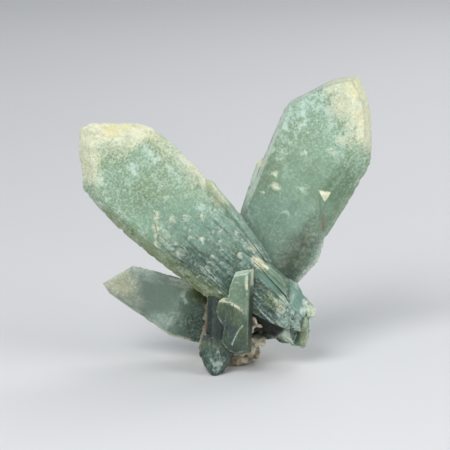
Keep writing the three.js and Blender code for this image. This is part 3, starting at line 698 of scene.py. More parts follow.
def right_blade_look(skin, sizes):
    """Smoother than the left blade: faint plates, a frosted left shoulder and a cream right tip, with painted
    light and shade.
    """
    u, v = skin.across, skin.along
    places = RIGHT_PLATES + scattered_plates(
        5, 26, (-13, 12), (14, 60), (0.9, 2.2), (2, 6), (0.04, 0.12), (0.0, 0.3))
    behind = scattered_plates(19, 120, (-15, 14), (6, 68), (1.4, 4.0), (5, 16), (0.1, 0.45), (0.0, 0.7))
    rise, rim, cap, _ = plates(skin, places, 121)
    rise_back, rim_back, cap_back, groove_back = plates(skin, behind, 131)
    step, lip = terraces(skin, (7, 14, 9), 144, 4)
    rib = ribs(skin, 1.1, 151)
    faced = skin.front + skin.back
    towards_root = ease(40, 8, v)
    lift = sizes.plate_height / (0.6 * MM) * (rise * skin.front + rise_back * skin.back)
    lift += 0.08 * step * faced
    lift += sizes.rib_depth / MM * rib * (0.1 + 0.3 * towards_root) * (faced + 0.5 * skin.side)
    tip_grain = ease(44, 62, v)
    shift = common_relief(skin, 0.02 + 0.045 * tip_grain, 0.45, 161, 0.3, 0.7)
    wa, wv = u + 1.0 * skin.noise(3, 172, 2), v + 1.2 * skin.noise(3, 173, 2)
    crest = near_line(wa, wv, [(-1, 72.6), (5.4, 68), (10.1, 62.6), (13.4, 56)], 5.5)
    wide = near_line(wa, wv, [(-3, 70), (-1, 72.6), (5.4, 68), (10.1, 62.6), (13.4, 56.5)], 12)
    patches = spots(wa, wv, RIGHT_CRUST)
    skin.mark("crust", np.clip(0.42 * crest + patches + 0.36 * wide, 0, 0.9) * (1 - skin.back))
    skin.mark("crust", skin.back * near_line(wa, wv, [(-15, 56), (-6, 68), (0, 72), (10, 62), (15, 52)], 9))
    skin.mark("yellow", 0.5 * spots(wa, wv, [(2, 69, 5, 4, 1.0), (8, 62, 3, 4, 0.7)]))
    frost_and_painted_light = near_line(wa, wv, [(-15, 54), (-12, 61), (-6.5, 68), (-2, 71)], 8.5) * 1.2
    frost_and_painted_light = np.maximum(frost_and_painted_light, spots(wa, wv, RIGHT_FROST))
    # Painted light: the left bevel turns away from the light, so frost and rim marks paint it paler.
    painted_light_left_edge = ease(-0.2, -0.7, skin.normal[:, 0]) * ease(16, 30, v) * (0.25 + 0.75 * ease(-2, 2, skin.out))
    frost_and_painted_light = np.maximum(np.maximum(frost_and_painted_light, 0.35 * ease(40, 60, v)), 1.2 * painted_light_left_edge)
    skin.mark("rim", 0.6 * painted_light_left_edge * (1 - skin.back))
    skin.mark("frost_and_painted_light", frost_and_painted_light * (1 - skin.back))
    worn_side = near_line(u, v, [(14, 24), (15, 16), (12.4, 9)], 3.0)
    skin.mark("grainy", 0.15 + 0.5 * ease(38, 56, v) + 0.5 * worn_side)
    skin.mark("pale", np.maximum(cap * skin.front, cap_back * skin.back) * ease(76, 60, v) * 0.9)
    skin.mark("rim", np.maximum(rim * skin.front, rim_back * skin.back) * 0.6)
    skin.mark("rim", lip * faced * 0.15 * ease(0.1, 0.6, skin.noise(5, 171, 3)))
    # Painted highlight: a bright line along the lower right edge, carried by the rim mark.
    skin.mark("rim", near_line(u, v, [(14.4, 23.5), (15.2, 17), (12.8, 9)], 1.5) * 1.2 * (1 - skin.back))
    skin.mark("shade", groove_back * skin.back * 0.4)
    skin.mark("lines", ease(-0.2, 0.7, rib) * (0.1 + 0.3 * towards_root))
    # A darker teal and green band down the lower right, partly its own colour and partly a painted soft
    # shadow; the hollow along it gets painted shade.
    band = near_line(wa, wv, [(9.4, 34), (8.6, 26), (8.4, 19)], 4.0) * ease(36, 22, v)
    band = np.maximum(band, near_line(wa, wv, [(8.6, 17), (9, 2)], 9.0))
    band = np.maximum(band, near_line(wa, wv, [(11.2, 22), (10.2, 14)], 5.5))
    slope = np.interp(v + 4 * skin.noise(6, 174, 2), (4, 14, 30, 44, 58), (0.65, 0.5, 0.34, 0.16, 0))
    skin.mark("deep", np.maximum(slope, band))
    hollow = near_line(wa, wv, [(9.6, 20), (8.4, 14), (9, 2)], 6.0)
    skin.mark("shade", 0.5 * hollow * (1 - skin.back) * ease(14, 13, u))
    skin.mark("olive", 0.3 * near_line(wa, wv, [(9.4, 22), (8, 12)], 4.5) * skin.front)
    # Painted shade: the lower left beside the left blade is made darker.
    skin.mark("deep", 0.5 * spots(wa, wv, [(1.5, 26.5, 4, 6, 1.0)]))
    skin.mark("sea", 0.4 * ease(34, 22, wv) * (1 - band) * (1 - skin.back))
    skin.mark("glassy", 0.5 * ease(44, 30, wv) * (1 - skin.back))
    green = spots(wa, wv, [(10.6, 40, 5.6, 9, 0.9), (-2.4, 19, 3, 5, 0.3)])
    skin.mark("green", np.maximum(green, 0.5 * band) * (1 - skin.back))
    down = (36.6 - v + 0.3 * (u - 8)) / 3.9
    ragged = 0.2 * skin.noise(0.9, 175, 2)
    wedge = ease(0.25, -0.15, np.abs(u - 7.8 - 2 * down) - 1.7 * (1 - down) + ragged)
    wedge *= ease(-0.08, 0.02, down) * ease(1, 0.9, down)
    skin.mark("crust", wedge * skin.front)
    skin.mark("shade", 0.5 * near_line(u, v, [(9.6, 34.4), (10.4, 30.2)], 0.6) * skin.front)
    skin.mark("rust", 0.6 * near_line(u, v, [(10.9, 30.0), (12.2, 26)], 0.6) * (1 - skin.back))
    return lift, shift


def plain_look(skin, sizes, seed, deep, frost_and_painted_light, plate_count, reach, rib_share, rounding=0.25, edge_wear_and_highlight=0.5):
    """A smaller crystal: some plates within reach, ribs, and an even depth of colour."""
    places = scattered_plates(seed, plate_count, *reach, (1.0, 3.0), (2, 7), (0.05, 0.3), (0.0, 0.5))
    rise, rim, cap, groove = plates(skin, places, seed + 1)
    rib = ribs(skin, 1.0, seed + 2)
    faced = skin.front + skin.back
    lift = rise * faced + sizes.rib_depth / MM * rib * rib_share * (1 - 0.4 * skin.side) * (1 - skin.scar)
    shift = common_relief(skin, 0.035, 0.4, seed + 3, edge_wear_and_highlight, rounding)
    skin.mark("pale", cap * faced)
    skin.mark("rim", rim * faced * 0.6)
    skin.mark("shade", groove * faced * 0.3)
    skin.mark("lines", ease(0.0, 0.8, rib) * 0.5 * rib_share)
    skin.mark("deep", np.full(len(skin.along), deep) + 0.12 * skin.noise(6, seed + 4, 2))
    skin.mark("frost_and_painted_light", frost_and_painted_light * ease(0.0, 0.6, skin.noise(3, seed + 6, 3)) * (1 - skin.scar))
    skin.mark("grainy", 0.5 * frost_and_painted_light * (1 - skin.scar))
    skin.mark("glassy", 0.3 + 0.1 * skin.scar)
    return lift, shift


# Finishes stored at each point. shade is painted shade; the frost, pale, rim and sea marks are the stone's
# own finishes that in some places also carry painted light.
MARKS = (
    "crust", "yellow", "frost_and_painted_light", "grainy", "pale", "rim", "lines", "deep", "olive", "green", "grey", "sea",
    "glassy", "rust", "slate", "shade")


def smooth_object(name, mesh, material):
    """A smooth-shaded object of a finished mesh."""
    mesh.polygons.foreach_set("use_smooth", np.ones(len(mesh.polygons), dtype=bool))
    mesh.materials.append(material)
    return link_new(name, mesh)


def finish_piece(name, mesh, points, node, material):
    """Moves a mesh to its last points, in millimetres, and makes it a piece of the cluster."""
    points[:, 2] = np.maximum(points[:, 2], 0)
    mesh.vertices.foreach_set("co", (points * MM).ravel())
    mesh.update()
    piece = smooth_object(name, mesh, material)
    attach(piece, "root")
    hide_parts(node)


def write_marks(mesh, marks, own):
    """Stores how strongly each finish shows at every point, and each point's place in its crystal's frame."""
    for name in MARKS:
        layer = mesh.attributes.new(name, "FLOAT", "POINT")
        values = np.broadcast_to(np.clip(marks.get(name, 0.0), 0, 1.2), len(own)).astype(np.float32)
        layer.data.foreach_set("value", np.ascontiguousarray(values))
    layer = mesh.attributes.new("own_place", "FLOAT_VECTOR", "POINT")
    layer.data.foreach_set("vector", own.astype(np.float32).ravel())


def grow(name, crystal, look, sizes, step, scooped=False):
    """Builds one crystal: facets, a lattice of this step in metres, relief and marks."""
    bm = cut_crystal(crystal)
    if scooped:
        bm = scoop_out(bm, FRACTURE_CENTRE, FRACTURE_RADIUS)
    refine(bm, step / MM)
    bmesh.ops.recalc_face_normals(bm, faces=bm.faces[:])
    mesh = bpy.data.meshes.new(name)
    bm.to_mesh(mesh)
    bm.free()
    points = points_of(mesh)
    skin = Skin(points, crystal, scooped)
    lift, shift = look(skin, sizes)
    outward = np.zeros_like(points)
    outward[:, 2] = np.where(skin.normal[:, 2] > 0, 1.0, -1.0)
    moved = points + lift[:, None] * outward + shift[:, None] * skin.normal
    place = np.array(place_of(crystal))
    write_marks(mesh, skin.marks, points)
    finish_piece(name, mesh, moved @ place[:3, :3].T + place[:3, 3], NODE, prase_material())


# ---------------------------------------------------------------- materials


def srgb(red, green, blue):
    """A linear colour from 0..255 display values."""
    return tuple(
        value / 12.92 if value <= 0.04045 else ((value + 0.055) / 1.055) ** 2.4
        for value in (red / 255, green / 255, blue / 255)
    )


class Graph:
    """Short ways to add and join the nodes of one material."""

    def __init__(self, name):
        self.material = bpy.data.materials.new(name)
        self.material.use_nodes = True
        self.tree = self.material.node_tree
        self.tree.nodes.clear()

    def feed(self, socket, value):
        """Gives a socket a value, or links it to the socket that the value comes from."""
        if isinstance(value, bpy.types.NodeSocket):
            self.tree.links.new(value, socket)
        elif socket.type == "RGBA":
            socket.default_value = (*value, 1)
        else:
            socket.default_value = value

    def node(self, kind, inputs, **settings):
        """A new node with these settings, fed through these inputs."""
        node = self.tree.nodes.new("ShaderNode" + kind)
        for name, value in settings.items():
            setattr(node, name, value)
        for name, value in inputs.items():
            self.feed(node.inputs[name], value)
        return node

    def mark(self, name):
        """How strongly this finish shows."""
        return self.node("Attribute", {}, attribute_name=name).outputs["Fac"]

    def stretch(self, vector, scale, turn=0.0):
        """Turns a place about its third axis and then scales it, so a pattern runs along that direction."""
        turned = self.node("Mapping", {"Vector": vector, "Rotation": (0, 0, turn)}).outputs[0]
        return self.node("Mapping", {"Vector": turned, "Scale": scale}).outputs[0]

    def noise(self, vector, scale, detail, rough=0.55):
        """Smooth noise in 0..1."""
        inputs = {"Vector": vector, "Scale": scale, "Detail": detail, "Roughness": rough}
        return self.node("TexNoise", inputs).outputs["Fac"]

    def maths(self, operation, first, second, clamp=False):
        """One sum of two values."""
        return self.node("Math", {0: first, 1: second}, operation=operation, use_clamp=clamp).outputs[0]

    def times(self, first, second, clamp=False):
        """The product of two values."""
        return self.maths("MULTIPLY", first, second, clamp)

    def plus(self, first, second, clamp=False):
        """The sum of two values."""
        return self.maths("ADD", first, second, clamp)

    def most(self, first, second):
        """The larger of two values."""
        return self.maths("MAXIMUM", first, second)

    def ramp(self, value, low, high, to_low=0.0, to_high=1.0):
        """Runs smoothly from to_low to to_high while the value runs from low to high."""
        inputs = dict(enumerate((value, low, high, to_low, to_high)))
        return self.node("MapRange", inputs, interpolation_type="SMOOTHSTEP").outputs[0]

    def mix(self, share, first, second):
        """The first colour, with this share of the second."""
        return self.node("Mix", {"Factor": share, 6: first, 7: second}, data_type="RGBA").outputs[2]

    def bump(self, height, strength, distance):
        """A relief for the shader's normal."""
        inputs = {"Strength": strength, "Distance": distance, "Height": height}
        return self.node("Bump", inputs).outputs[0]

    def finish(self, inputs):
        """Feeds the shader and returns the material."""
        shader = self.node("BsdfPrincipled", inputs)
        output = self.tree.nodes.new("ShaderNodeOutputMaterial")
        self.tree.links.new(shader.outputs[0], output.inputs[0])
        return self.material


def prase_material():
    """Cloudy green quartz with a cream crust, frost, olive edges, slate depths and rust, plus painted light
    and shade, made once.
    """
    if "green_quartz" in bpy.data.materials:
        return bpy.data.materials["green_quartz"]
    colours = bpy.context.scene.prase_colours
    g = Graph("green_quartz")
    own = g.node("Attribute", {}, attribute_name="own_place").outputs["Vector"]
    clouds = g.noise(own, 0.08, 3)
    mottle = g.noise(own, 0.42, 4, 0.6)
    grain = g.noise(own, 1.25, 3, 0.7)
    dust = g.noise(own, 3.1, 2, 0.6)
    silk = g.noise(g.stretch(own, (1.9, 0.14, 0.9)), 1.0, 4, 0.6)
    hatch = g.noise(g.stretch(own, (2.4, 0.42, 1.2), 0.5), 1.0, 3, 0.6)
    sugar = g.plus(g.times(grain, 0.5), g.times(dust, 0.5))
    lines, crust = g.mark("lines"), g.mark("crust")
    rugged = g.ramp(g.mark("glassy"), 0, 1, 1.0, 0.15)

    def strokes(scale, width):
        """Thin broken curls: the places where a noise crosses its middle value."""
        across = g.maths("ABSOLUTE", g.maths("SUBTRACT", g.noise(own, scale, 2, 0.5), 0.5), 0.0)
        return g.times(g.ramp(across, width * 0.35, width, 1.0, 0.0), g.ramp(grain, 0.42, 0.56))

    curls = g.most(strokes(1.0, 0.05), strokes(1.9, 0.055))

    # The body.
    depth = g.plus(g.mark("deep"), g.ramp(clouds, 0.35, 0.65, -0.09, 0.09))
    depth = g.plus(depth, g.ramp(mottle, 0.35, 0.65, 0.05, -0.05), True)
    stone = g.mix(g.ramp(clouds, 0.42, 0.62), colours.sage, colours.moss)
    for share, colour in (
        (depth, colours.teal), (g.mark("sea"), colours.sea), (g.mark("grey"), colours.grey),
        (g.mark("green"), colours.fern), (g.mark("slate"), colours.slate),
        (g.times(g.mark("olive"), 0.9), colours.olive),
    ):
        stone = g.mix(share, stone, colour)
    for texture, low, high, share, colour in (
        (grain, 0.5, 0.72, 0.16, colours.milk), (dust, 0.5, 0.3, 0.1, colours.shadow),
        (silk, 0.46, 0.32, 0.16, colours.shadow), (hatch, 0.54, 0.7, 0.16, colours.milk),
    ):
        stone = g.mix(g.times(g.ramp(texture, low, high, 0.0, share), rugged), stone, colour)

    # Fine growth lines and pale grains.
    drawn = g.times(lines, g.ramp(silk, 0.53, 0.64, 0.0, 0.48))
    drawn = g.times(drawn, g.ramp(grain, 0.36, 0.56, 0.25, 1.0))
    stone = g.mix(drawn, stone, colours.frost_and_painted_light)
    stone = g.mix(g.times(lines, g.ramp(silk, 0.47, 0.38, 0, 0.4)), stone, colours.shadow)
    speck = g.times(g.mark("grainy"), g.most(g.ramp(sugar, 0.55, 0.64), curls))
    stone = g.mix(g.times(speck, 0.75, True), stone, colours.frost_and_painted_light)

    # Frost and crust, broken up by the grain. The frost mark also carries painted light on some facets that
    # lie in shade.
    break_up = g.times(g.maths("SUBTRACT", sugar, 0.5), 1.6)
    break_up = g.plus(break_up, g.times(g.maths("SUBTRACT", mottle, 0.5), 0.9))
    break_up = g.times(break_up, rugged)
    patchy = g.plus(1.0, g.times(g.ramp(mottle, 0.36, 0.64, -0.55, 0.3), rugged))
    frost_and_painted_light = g.times(g.mark("frost_and_painted_light"), patchy)
    broken_frost_and_light = g.ramp(g.plus(frost_and_painted_light, break_up), 0.1, 1.4, 0.0, 0.92)
    frost_and_light_cover = g.most(broken_frost_and_light, g.times(g.ramp(frost_and_painted_light, 0.1, 0.8), g.times(curls, 0.75)))
    stone = g.mix(frost_and_light_cover, stone, colours.frost_and_painted_light)
    cream = g.mix(g.ramp(mottle, 0.4, 0.66), colours.cream, colours.sand)
    stained = g.times(g.mark("yellow"), g.ramp(grain, 0.35, 0.6, 0.4, 1.0), True)
    cream = g.mix(stained, cream, colours.yellow)
    cream = g.mix(g.ramp(sugar, 0.47, 0.38, 0, 0.4), cream, colours.moss)
    cream = g.mix(g.times(curls, 0.5), cream, colours.frost_and_painted_light)
    crusted = g.ramp(g.plus(crust, break_up), 0.05, 1.05, 0.0, 0.95)
    crusted = g.most(crusted, g.times(g.ramp(crust, 0.05, 0.6), g.times(curls, 0.75)))
    stone = g.mix(crusted, stone, cream)

    # Plate heads, pale rims that are partly wear and partly painted highlight, iron stain, and painted shade
    # in hollows.
    for share, colour in (
        (g.times(g.mark("pale"), g.ramp(grain, 0.36, 0.56, 0.2, 0.95), True), colours.cream),
        (g.times(g.mark("rim"), g.ramp(grain, 0.34, 0.6, 0.3, 0.95), True), colours.rim),
        (g.times(g.mark("rust"), g.ramp(grain, 0.35, 0.55), True), colours.rust),
        (g.mark("shade"), colours.shadow),
    ):
        stone = g.mix(share, stone, colour)

    rough = g.plus(g.ramp(mottle, 0.3, 0.7, 0.36, 0.48), g.times(g.most(crusted, frost_and_light_cover), 0.25))
    height = g.plus(sugar, g.times(silk, g.plus(lines, 0.25)))
    height = g.plus(height, g.times(curls, g.times(g.plus(frost_and_painted_light, crust), 0.35)))
    return g.finish({
        "Base Color": stone, "Roughness": rough, "Normal": g.bump(height, 0.7, 0.0003), "IOR": 1.54,
        "Specular IOR Level": 0.28, "Subsurface Weight": 0.15, "Subsurface Radius": (0.8, 1.0, 0.8),
        "Subsurface Scale": 0.0015,
    })


def rock_material():
    """Pale, crumbly host rock with pink and rust patches, dark pits and painted shade in the recess."""
    colours = bpy.context.scene.prase_rock
    g = Graph("crumbly_rock")
    place = g.node("TexCoord", {}).outputs["Object"]
    patches = g.noise(place, 190, 4, 0.6)
    mottle = g.noise(place, 620, 4, 0.65)
    pits = g.node("TexVoronoi", {"Vector": place, "Scale": 480}).outputs["Distance"]
    colour = g.mix(g.ramp(patches, 0.4, 0.6), colours.cream, colours.brown)
    for share, patch in (
        (g.ramp(mottle, 0.42, 0.7, 0, 0.7), colours.pink),
        (g.ramp(pits, 0.4, 0.7, 0, 0.5), colours.dark),
        (g.mark("pale"), colours.cream),
        (g.times(g.mark("rust"), g.ramp(mottle, 0.4, 0.6)), colours.rust),
        (g.times(g.mark("shade"), g.ramp(mottle, 0.25, 0.6, 1.0, 0.7)), colours.dark),
    ):
        colour = g.mix(share, colour, patch)
    rough = g.ramp(mottle, 0.3, 0.7, 0.75, 0.95)
    height = g.plus(mottle, g.times(pits, 0.6))
    return g.finish({"Base Color": colour, "Roughness": rough, "Normal": g.bump(height, 0.9, 0.0005)})


def floor_material():
    """Plain pale studio floor."""
    g = Graph("studio_floor")
    tint = g.noise(g.node("TexCoord", {}).outputs["Object"], 4, 2)
    return g.finish({"Base Color": g.mix(tint, (0.72, 0.73, 0.74), (0.76, 0.76, 0.77)), "Roughness": 0.85})


# ---------------------------------------------------------------- settings


RGB = {"size": 3, "min": 0, "max": 1}


class PraseColours(bpy.types.PropertyGroup):
    """Colours of the green quartz."""

    sage: FloatVectorProperty(
        name="Sage", description="Upper body of the blades", subtype="COLOR",
        default=srgb(134, 164, 138), **RGB)
    teal: FloatVectorProperty(
        name="Teal", description="Body towards the roots", subtype="COLOR",
        default=srgb(58, 84, 75), **RGB)
    milk: FloatVectorProperty(
        name="Milk", description="Pale clouds in the stone", subtype="COLOR",
        default=srgb(186, 210, 188), **RGB)
    moss: FloatVectorProperty(
        name="Moss", description="Yellowish clouds in the body", subtype="COLOR",
        default=srgb(133, 156, 122), **RGB)
    sea: FloatVectorProperty(
        name="Sea", description="Bluish zones of the body", subtype="COLOR",
        default=srgb(108, 142, 132), **RGB)
    fern: FloatVectorProperty(
        name="Fern", description="Deeper green zones", subtype="COLOR",
        default=srgb(98, 124, 98), **RGB)
    olive: FloatVectorProperty(
        name="Olive", description="Thin, see-through edges", subtype="COLOR",
        default=srgb(104, 119, 68), **RGB)
    slate: FloatVectorProperty(
        name="Slate", description="Blue-grey base and fracture", subtype="COLOR",
        default=srgb(48, 66, 64), **RGB)
    grey: FloatVectorProperty(
        name="Grey", description="Body of the small crystal", subtype="COLOR",
        default=srgb(104, 118, 110), **RGB)
    # Frost: the bluish dusting, and also painted light on facets that lie in shade.
    frost_and_painted_light: FloatVectorProperty(
        name="Frost", description="Bluish dusting", subtype="COLOR",
        default=srgb(204, 227, 215), **RGB)
    cream: FloatVectorProperty(
        name="Cream", description="Crust and plate heads", subtype="COLOR",
        default=srgb(250, 246, 214), **RGB)
    sand: FloatVectorProperty(
        name="Sand", description="Darker patches in the crust", subtype="COLOR",
        default=srgb(206, 206, 172), **RGB)
    yellow: FloatVectorProperty(
        name="Yellow", description="Yellow stain in the crust", subtype="COLOR",
        default=srgb(246, 232, 170), **RGB)
    # Rim: pale worn edges, and along some edges a painted highlight.
    rim: FloatVectorProperty(
        name="Rim", description="Worn, pale edges", subtype="COLOR",
        default=srgb(214, 222, 204), **RGB)
    rust: FloatVectorProperty(
        name="Rust", description="Iron stain in the cracks", subtype="COLOR",
        default=srgb(150, 96, 52), **RGB)
    shadow: FloatVectorProperty(
        name="Shadow", description="Dark cracks and hollows", subtype="COLOR",
        default=srgb(27, 33, 27), **RGB)


class PraseRock(bpy.types.PropertyGroup):
    """Colours and grain of the host rock."""

    cream: FloatVectorProperty(
        name="Cream", description="Pale ground of the rock", subtype="COLOR",
        default=srgb(250, 243, 216), **RGB)
    brown: FloatVectorProperty(
        name="Brown", description="Brown patches", subtype="COLOR",
        default=srgb(172, 160, 132), **RGB)
    pink: FloatVectorProperty(
        name="Pink", description="Pinkish grains", subtype="COLOR",
        default=srgb(194, 182, 160), **RGB)
    rust: FloatVectorProperty(
        name="Rust", description="Iron stain", subtype="COLOR",
        default=srgb(146, 92, 50), **RGB)
    # Dark: real pits, and painted shade in the recesses.
    dark: FloatVectorProperty(
        name="Dark", description="Pits and recesses", subtype="COLOR",
        default=srgb(40, 34, 26), **RGB)
    grain: FloatProperty(
        name="Grain", description="Height of the rock's grain",
        unit="LENGTH", min=0, max=0.002, default=0.45 * MM)


class PraseBlades(bpy.types.PropertyGroup):
    """Relief of the two large blades."""

    plate_height: FloatProperty(
        name="Plate height", description="How far the growth plates stand out",
        unit="LENGTH", min=0, max=0.002, default=0.6 * MM)
    rib_depth: FloatProperty(
        name="Rib depth", description="Height of the long growth lines",
        unit="LENGTH", min=0, max=0.001, default=0.14 * MM)
    step: FloatProperty(
        name="Lattice", description="Step of the lattice that carries the relief",
        unit="LENGTH", min=0.0003, max=0.005, default=0.66 * MM)


class PraseCrystals(bpy.types.PropertyGroup):
    """Relief of the smaller crystals."""

    rib_depth: FloatProperty(
        name="Rib depth", description="Height of the long growth lines",
        unit="LENGTH", min=0, max=0.001, default=0.1 * MM)
    step: FloatProperty(
        name="Lattice", description="Step of the lattice that carries the relief",
        unit="LENGTH", min=0.0003, max=0.005, default=0.6 * MM)


class PraseStage(bpy.types.PropertyGroup):
    """Floor, lamps and camera."""

    floor_size: FloatProperty(
        name="Floor size", description="Width of the flat part of the round floor",
        unit="LENGTH", min=0.5, max=20, default=3.4)
    lens: FloatProperty(
        name="Lens", description="Focal length in millimetres",
        min=20, max=500, default=240)
    distance: FloatProperty(
        name="Distance", description="From the camera to the cluster",
        unit="LENGTH", min=0.2, max=5, default=0.9)
    height_angle: FloatProperty(
        name="Height angle", description="How far above level the camera looks from",
        subtype="ANGLE", min=0, max=1.5, default=math.radians(12))


# ---------------------------------------------------------------- operators


class PRASE_OT_left_blade(bpy.types.Operator):
    """Build the left blade and the crystals grown in its own direction"""

    bl_idname = "prase.left_blade"
    bl_label = "Left blade"

    def execute(self, context):
        sizes = context.scene.prase_blades
        grow("left_blade", LEFT_BLADE, left_blade_look, sizes, sizes.step)
        grow("left_blade_overgrowth", OVERGROWTH, left_blade_look, sizes, sizes.step)
        grow("left_blade_upper_edge", UPPER_EDGE_CRYSTAL, left_blade_look, sizes, sizes.step)
        grow("left_blade_ledge", LEDGE_CRYSTAL, ledge_look, sizes, sizes.step)
        return {"FINISHED"}


class PRASE_OT_right_blade(bpy.types.Operator):
    """Build the right blade and the crystals grown in its own direction"""

    bl_idname = "prase.right_blade"
    bl_label = "Right blade"

    def execute(self, context):
        sizes = context.scene.prase_blades
        grow("right_blade", RIGHT_BLADE, right_blade_look, sizes, sizes.step)
        grow("right_blade_left_edge", LEFT_EDGE_CRYSTAL, right_blade_look, sizes, sizes.step)
        grow("right_blade_lower_front", LOWER_FRONT_CRYSTAL, right_blade_look, sizes, sizes.step)
        return {"FINISHED"}


def small_crystal_look(skin, sizes):
    """Smooth and grey, with a pale tip edge, a dark, speckled root and painted shade in the hollow beside it.
    """
    lift, shift = plain_look(
        skin, sizes, 211, deep=0.08, frost_and_painted_light=0.1, plate_count=8, reach=((-8, 10), (0, 8)), rib_share=0.12,
        rounding=0.4)
    u, v = skin.across, skin.along
    wa, wv = u + skin.noise(3, 221, 2), v + skin.noise(3, 222, 2)
    root = ease(8.2, 2.6, v - 0.25 * np.clip(u + 2, 0, 6) + 0.9 * skin.noise((2, 4, 2), 223, 2))
    skin.mark("grey", 0.9 - 0.6 * root - 0.3 * ease(20, 12, v) * (1 - root))
    skin.mark("glassy", 1.0 - 0.75 * root)
    skin.mark("sea", 0.4 * ease(20, 12, v) * (1 - root))
    tip = spots(u, v, [(3, 27, 6.5, 7, 0.42), (0.4, 30.5, 4.5, 5, 0.5), (-0.4, 24.0, 4, 7, 0.3)])
    skin.mark("crust", tip * (1 - skin.back))
    skin.mark("frost_and_painted_light", 0.55 * spots(u, v, [(-4, 12.5, 4, 7, 1.0), (8, 21, 3, 8, 0.8)]) * (1 - root))
    skin.mark("yellow", spots(wa, wv, [(2.4, 26.8, 4, 4, 0.8)]))
    skin.mark("rim", near_line(u, v, [(9.5, 20), (8.5, 26.1), (0.6, 33.2)], 1.8) * 0.8)
    skin.mark("rim", near_line(u, v, [(0.6, 33.2), (-1.9, 30), (-6.4, 15.4)], 1.4) * 0.6)
    skin.mark("crust", near_line(u, v, [(-6.6, 14.5), (-8.2, 8.4), (-8, 3)], 2.0) * 0.9 * (1 - skin.back))
    above_root = spots(u, v, [(-3, 9.4, 6, 5, 1.0), (3, 11, 5, 4, 0.5)])
    skin.mark("frost_and_painted_light", 0.45 * above_root * (1 - root) * (1 - skin.back))
    skin.mark("slate", root * 0.5 * ease(3.4, -1, u))
    skin.mark("grainy", 0.16 * root)
    skin.mark("lines", 0.25 * root)
    skin.mark("deep", root * 0.8)
    # Olive, darkened with painted shade, in the hollow under the left blade's edge.
    skin.mark("olive", spots(u, v, [(7.6, 3, 4.4, 5.4, 1.1)]))
    skin.mark("shade", 0.55 * spots(u, v, [(7.6, 2.4, 3.6, 4.6, 1.0)]))
    skin.mark("rust", 0.7 * spots(wa, wv, [(5.0, -0.2, 3.2, 0.9, 1.0)]))
    root_rim = near_line(wa, wv, [(6, 0.8), (1.4, -0.2), (-4.4, -1.4)], 1.4)
    skin.mark("crust", 0.7 * root_rim * ease(-0.6, 0.2, skin.noise(1.4, 226, 2)))
    scratch = near_line(u, v, [(5.0, 8.8), (2.9, 6.6)], 1.3)
    skin.mark("frost_and_painted_light", 0.9 * scratch * ease(-0.6, 0.2, skin.noise(1.2, 225, 2)))
    return lift + 0.12 * root * skin.noise(1.4, 224, 2) * skin.front, shift


class PRASE_OT_small_crystal(bpy.types.Operator):
    """Build the small smooth crystal that points left"""

    bl_idname = "prase.small_crystal"
    bl_label = "Small crystal"

    def execute(self, context):
        sizes = context.scene.prase_crystals
        grow("small_crystal", SMALL_CRYSTAL, small_crystal_look, sizes, sizes.step)
        return {"FINISHED"}


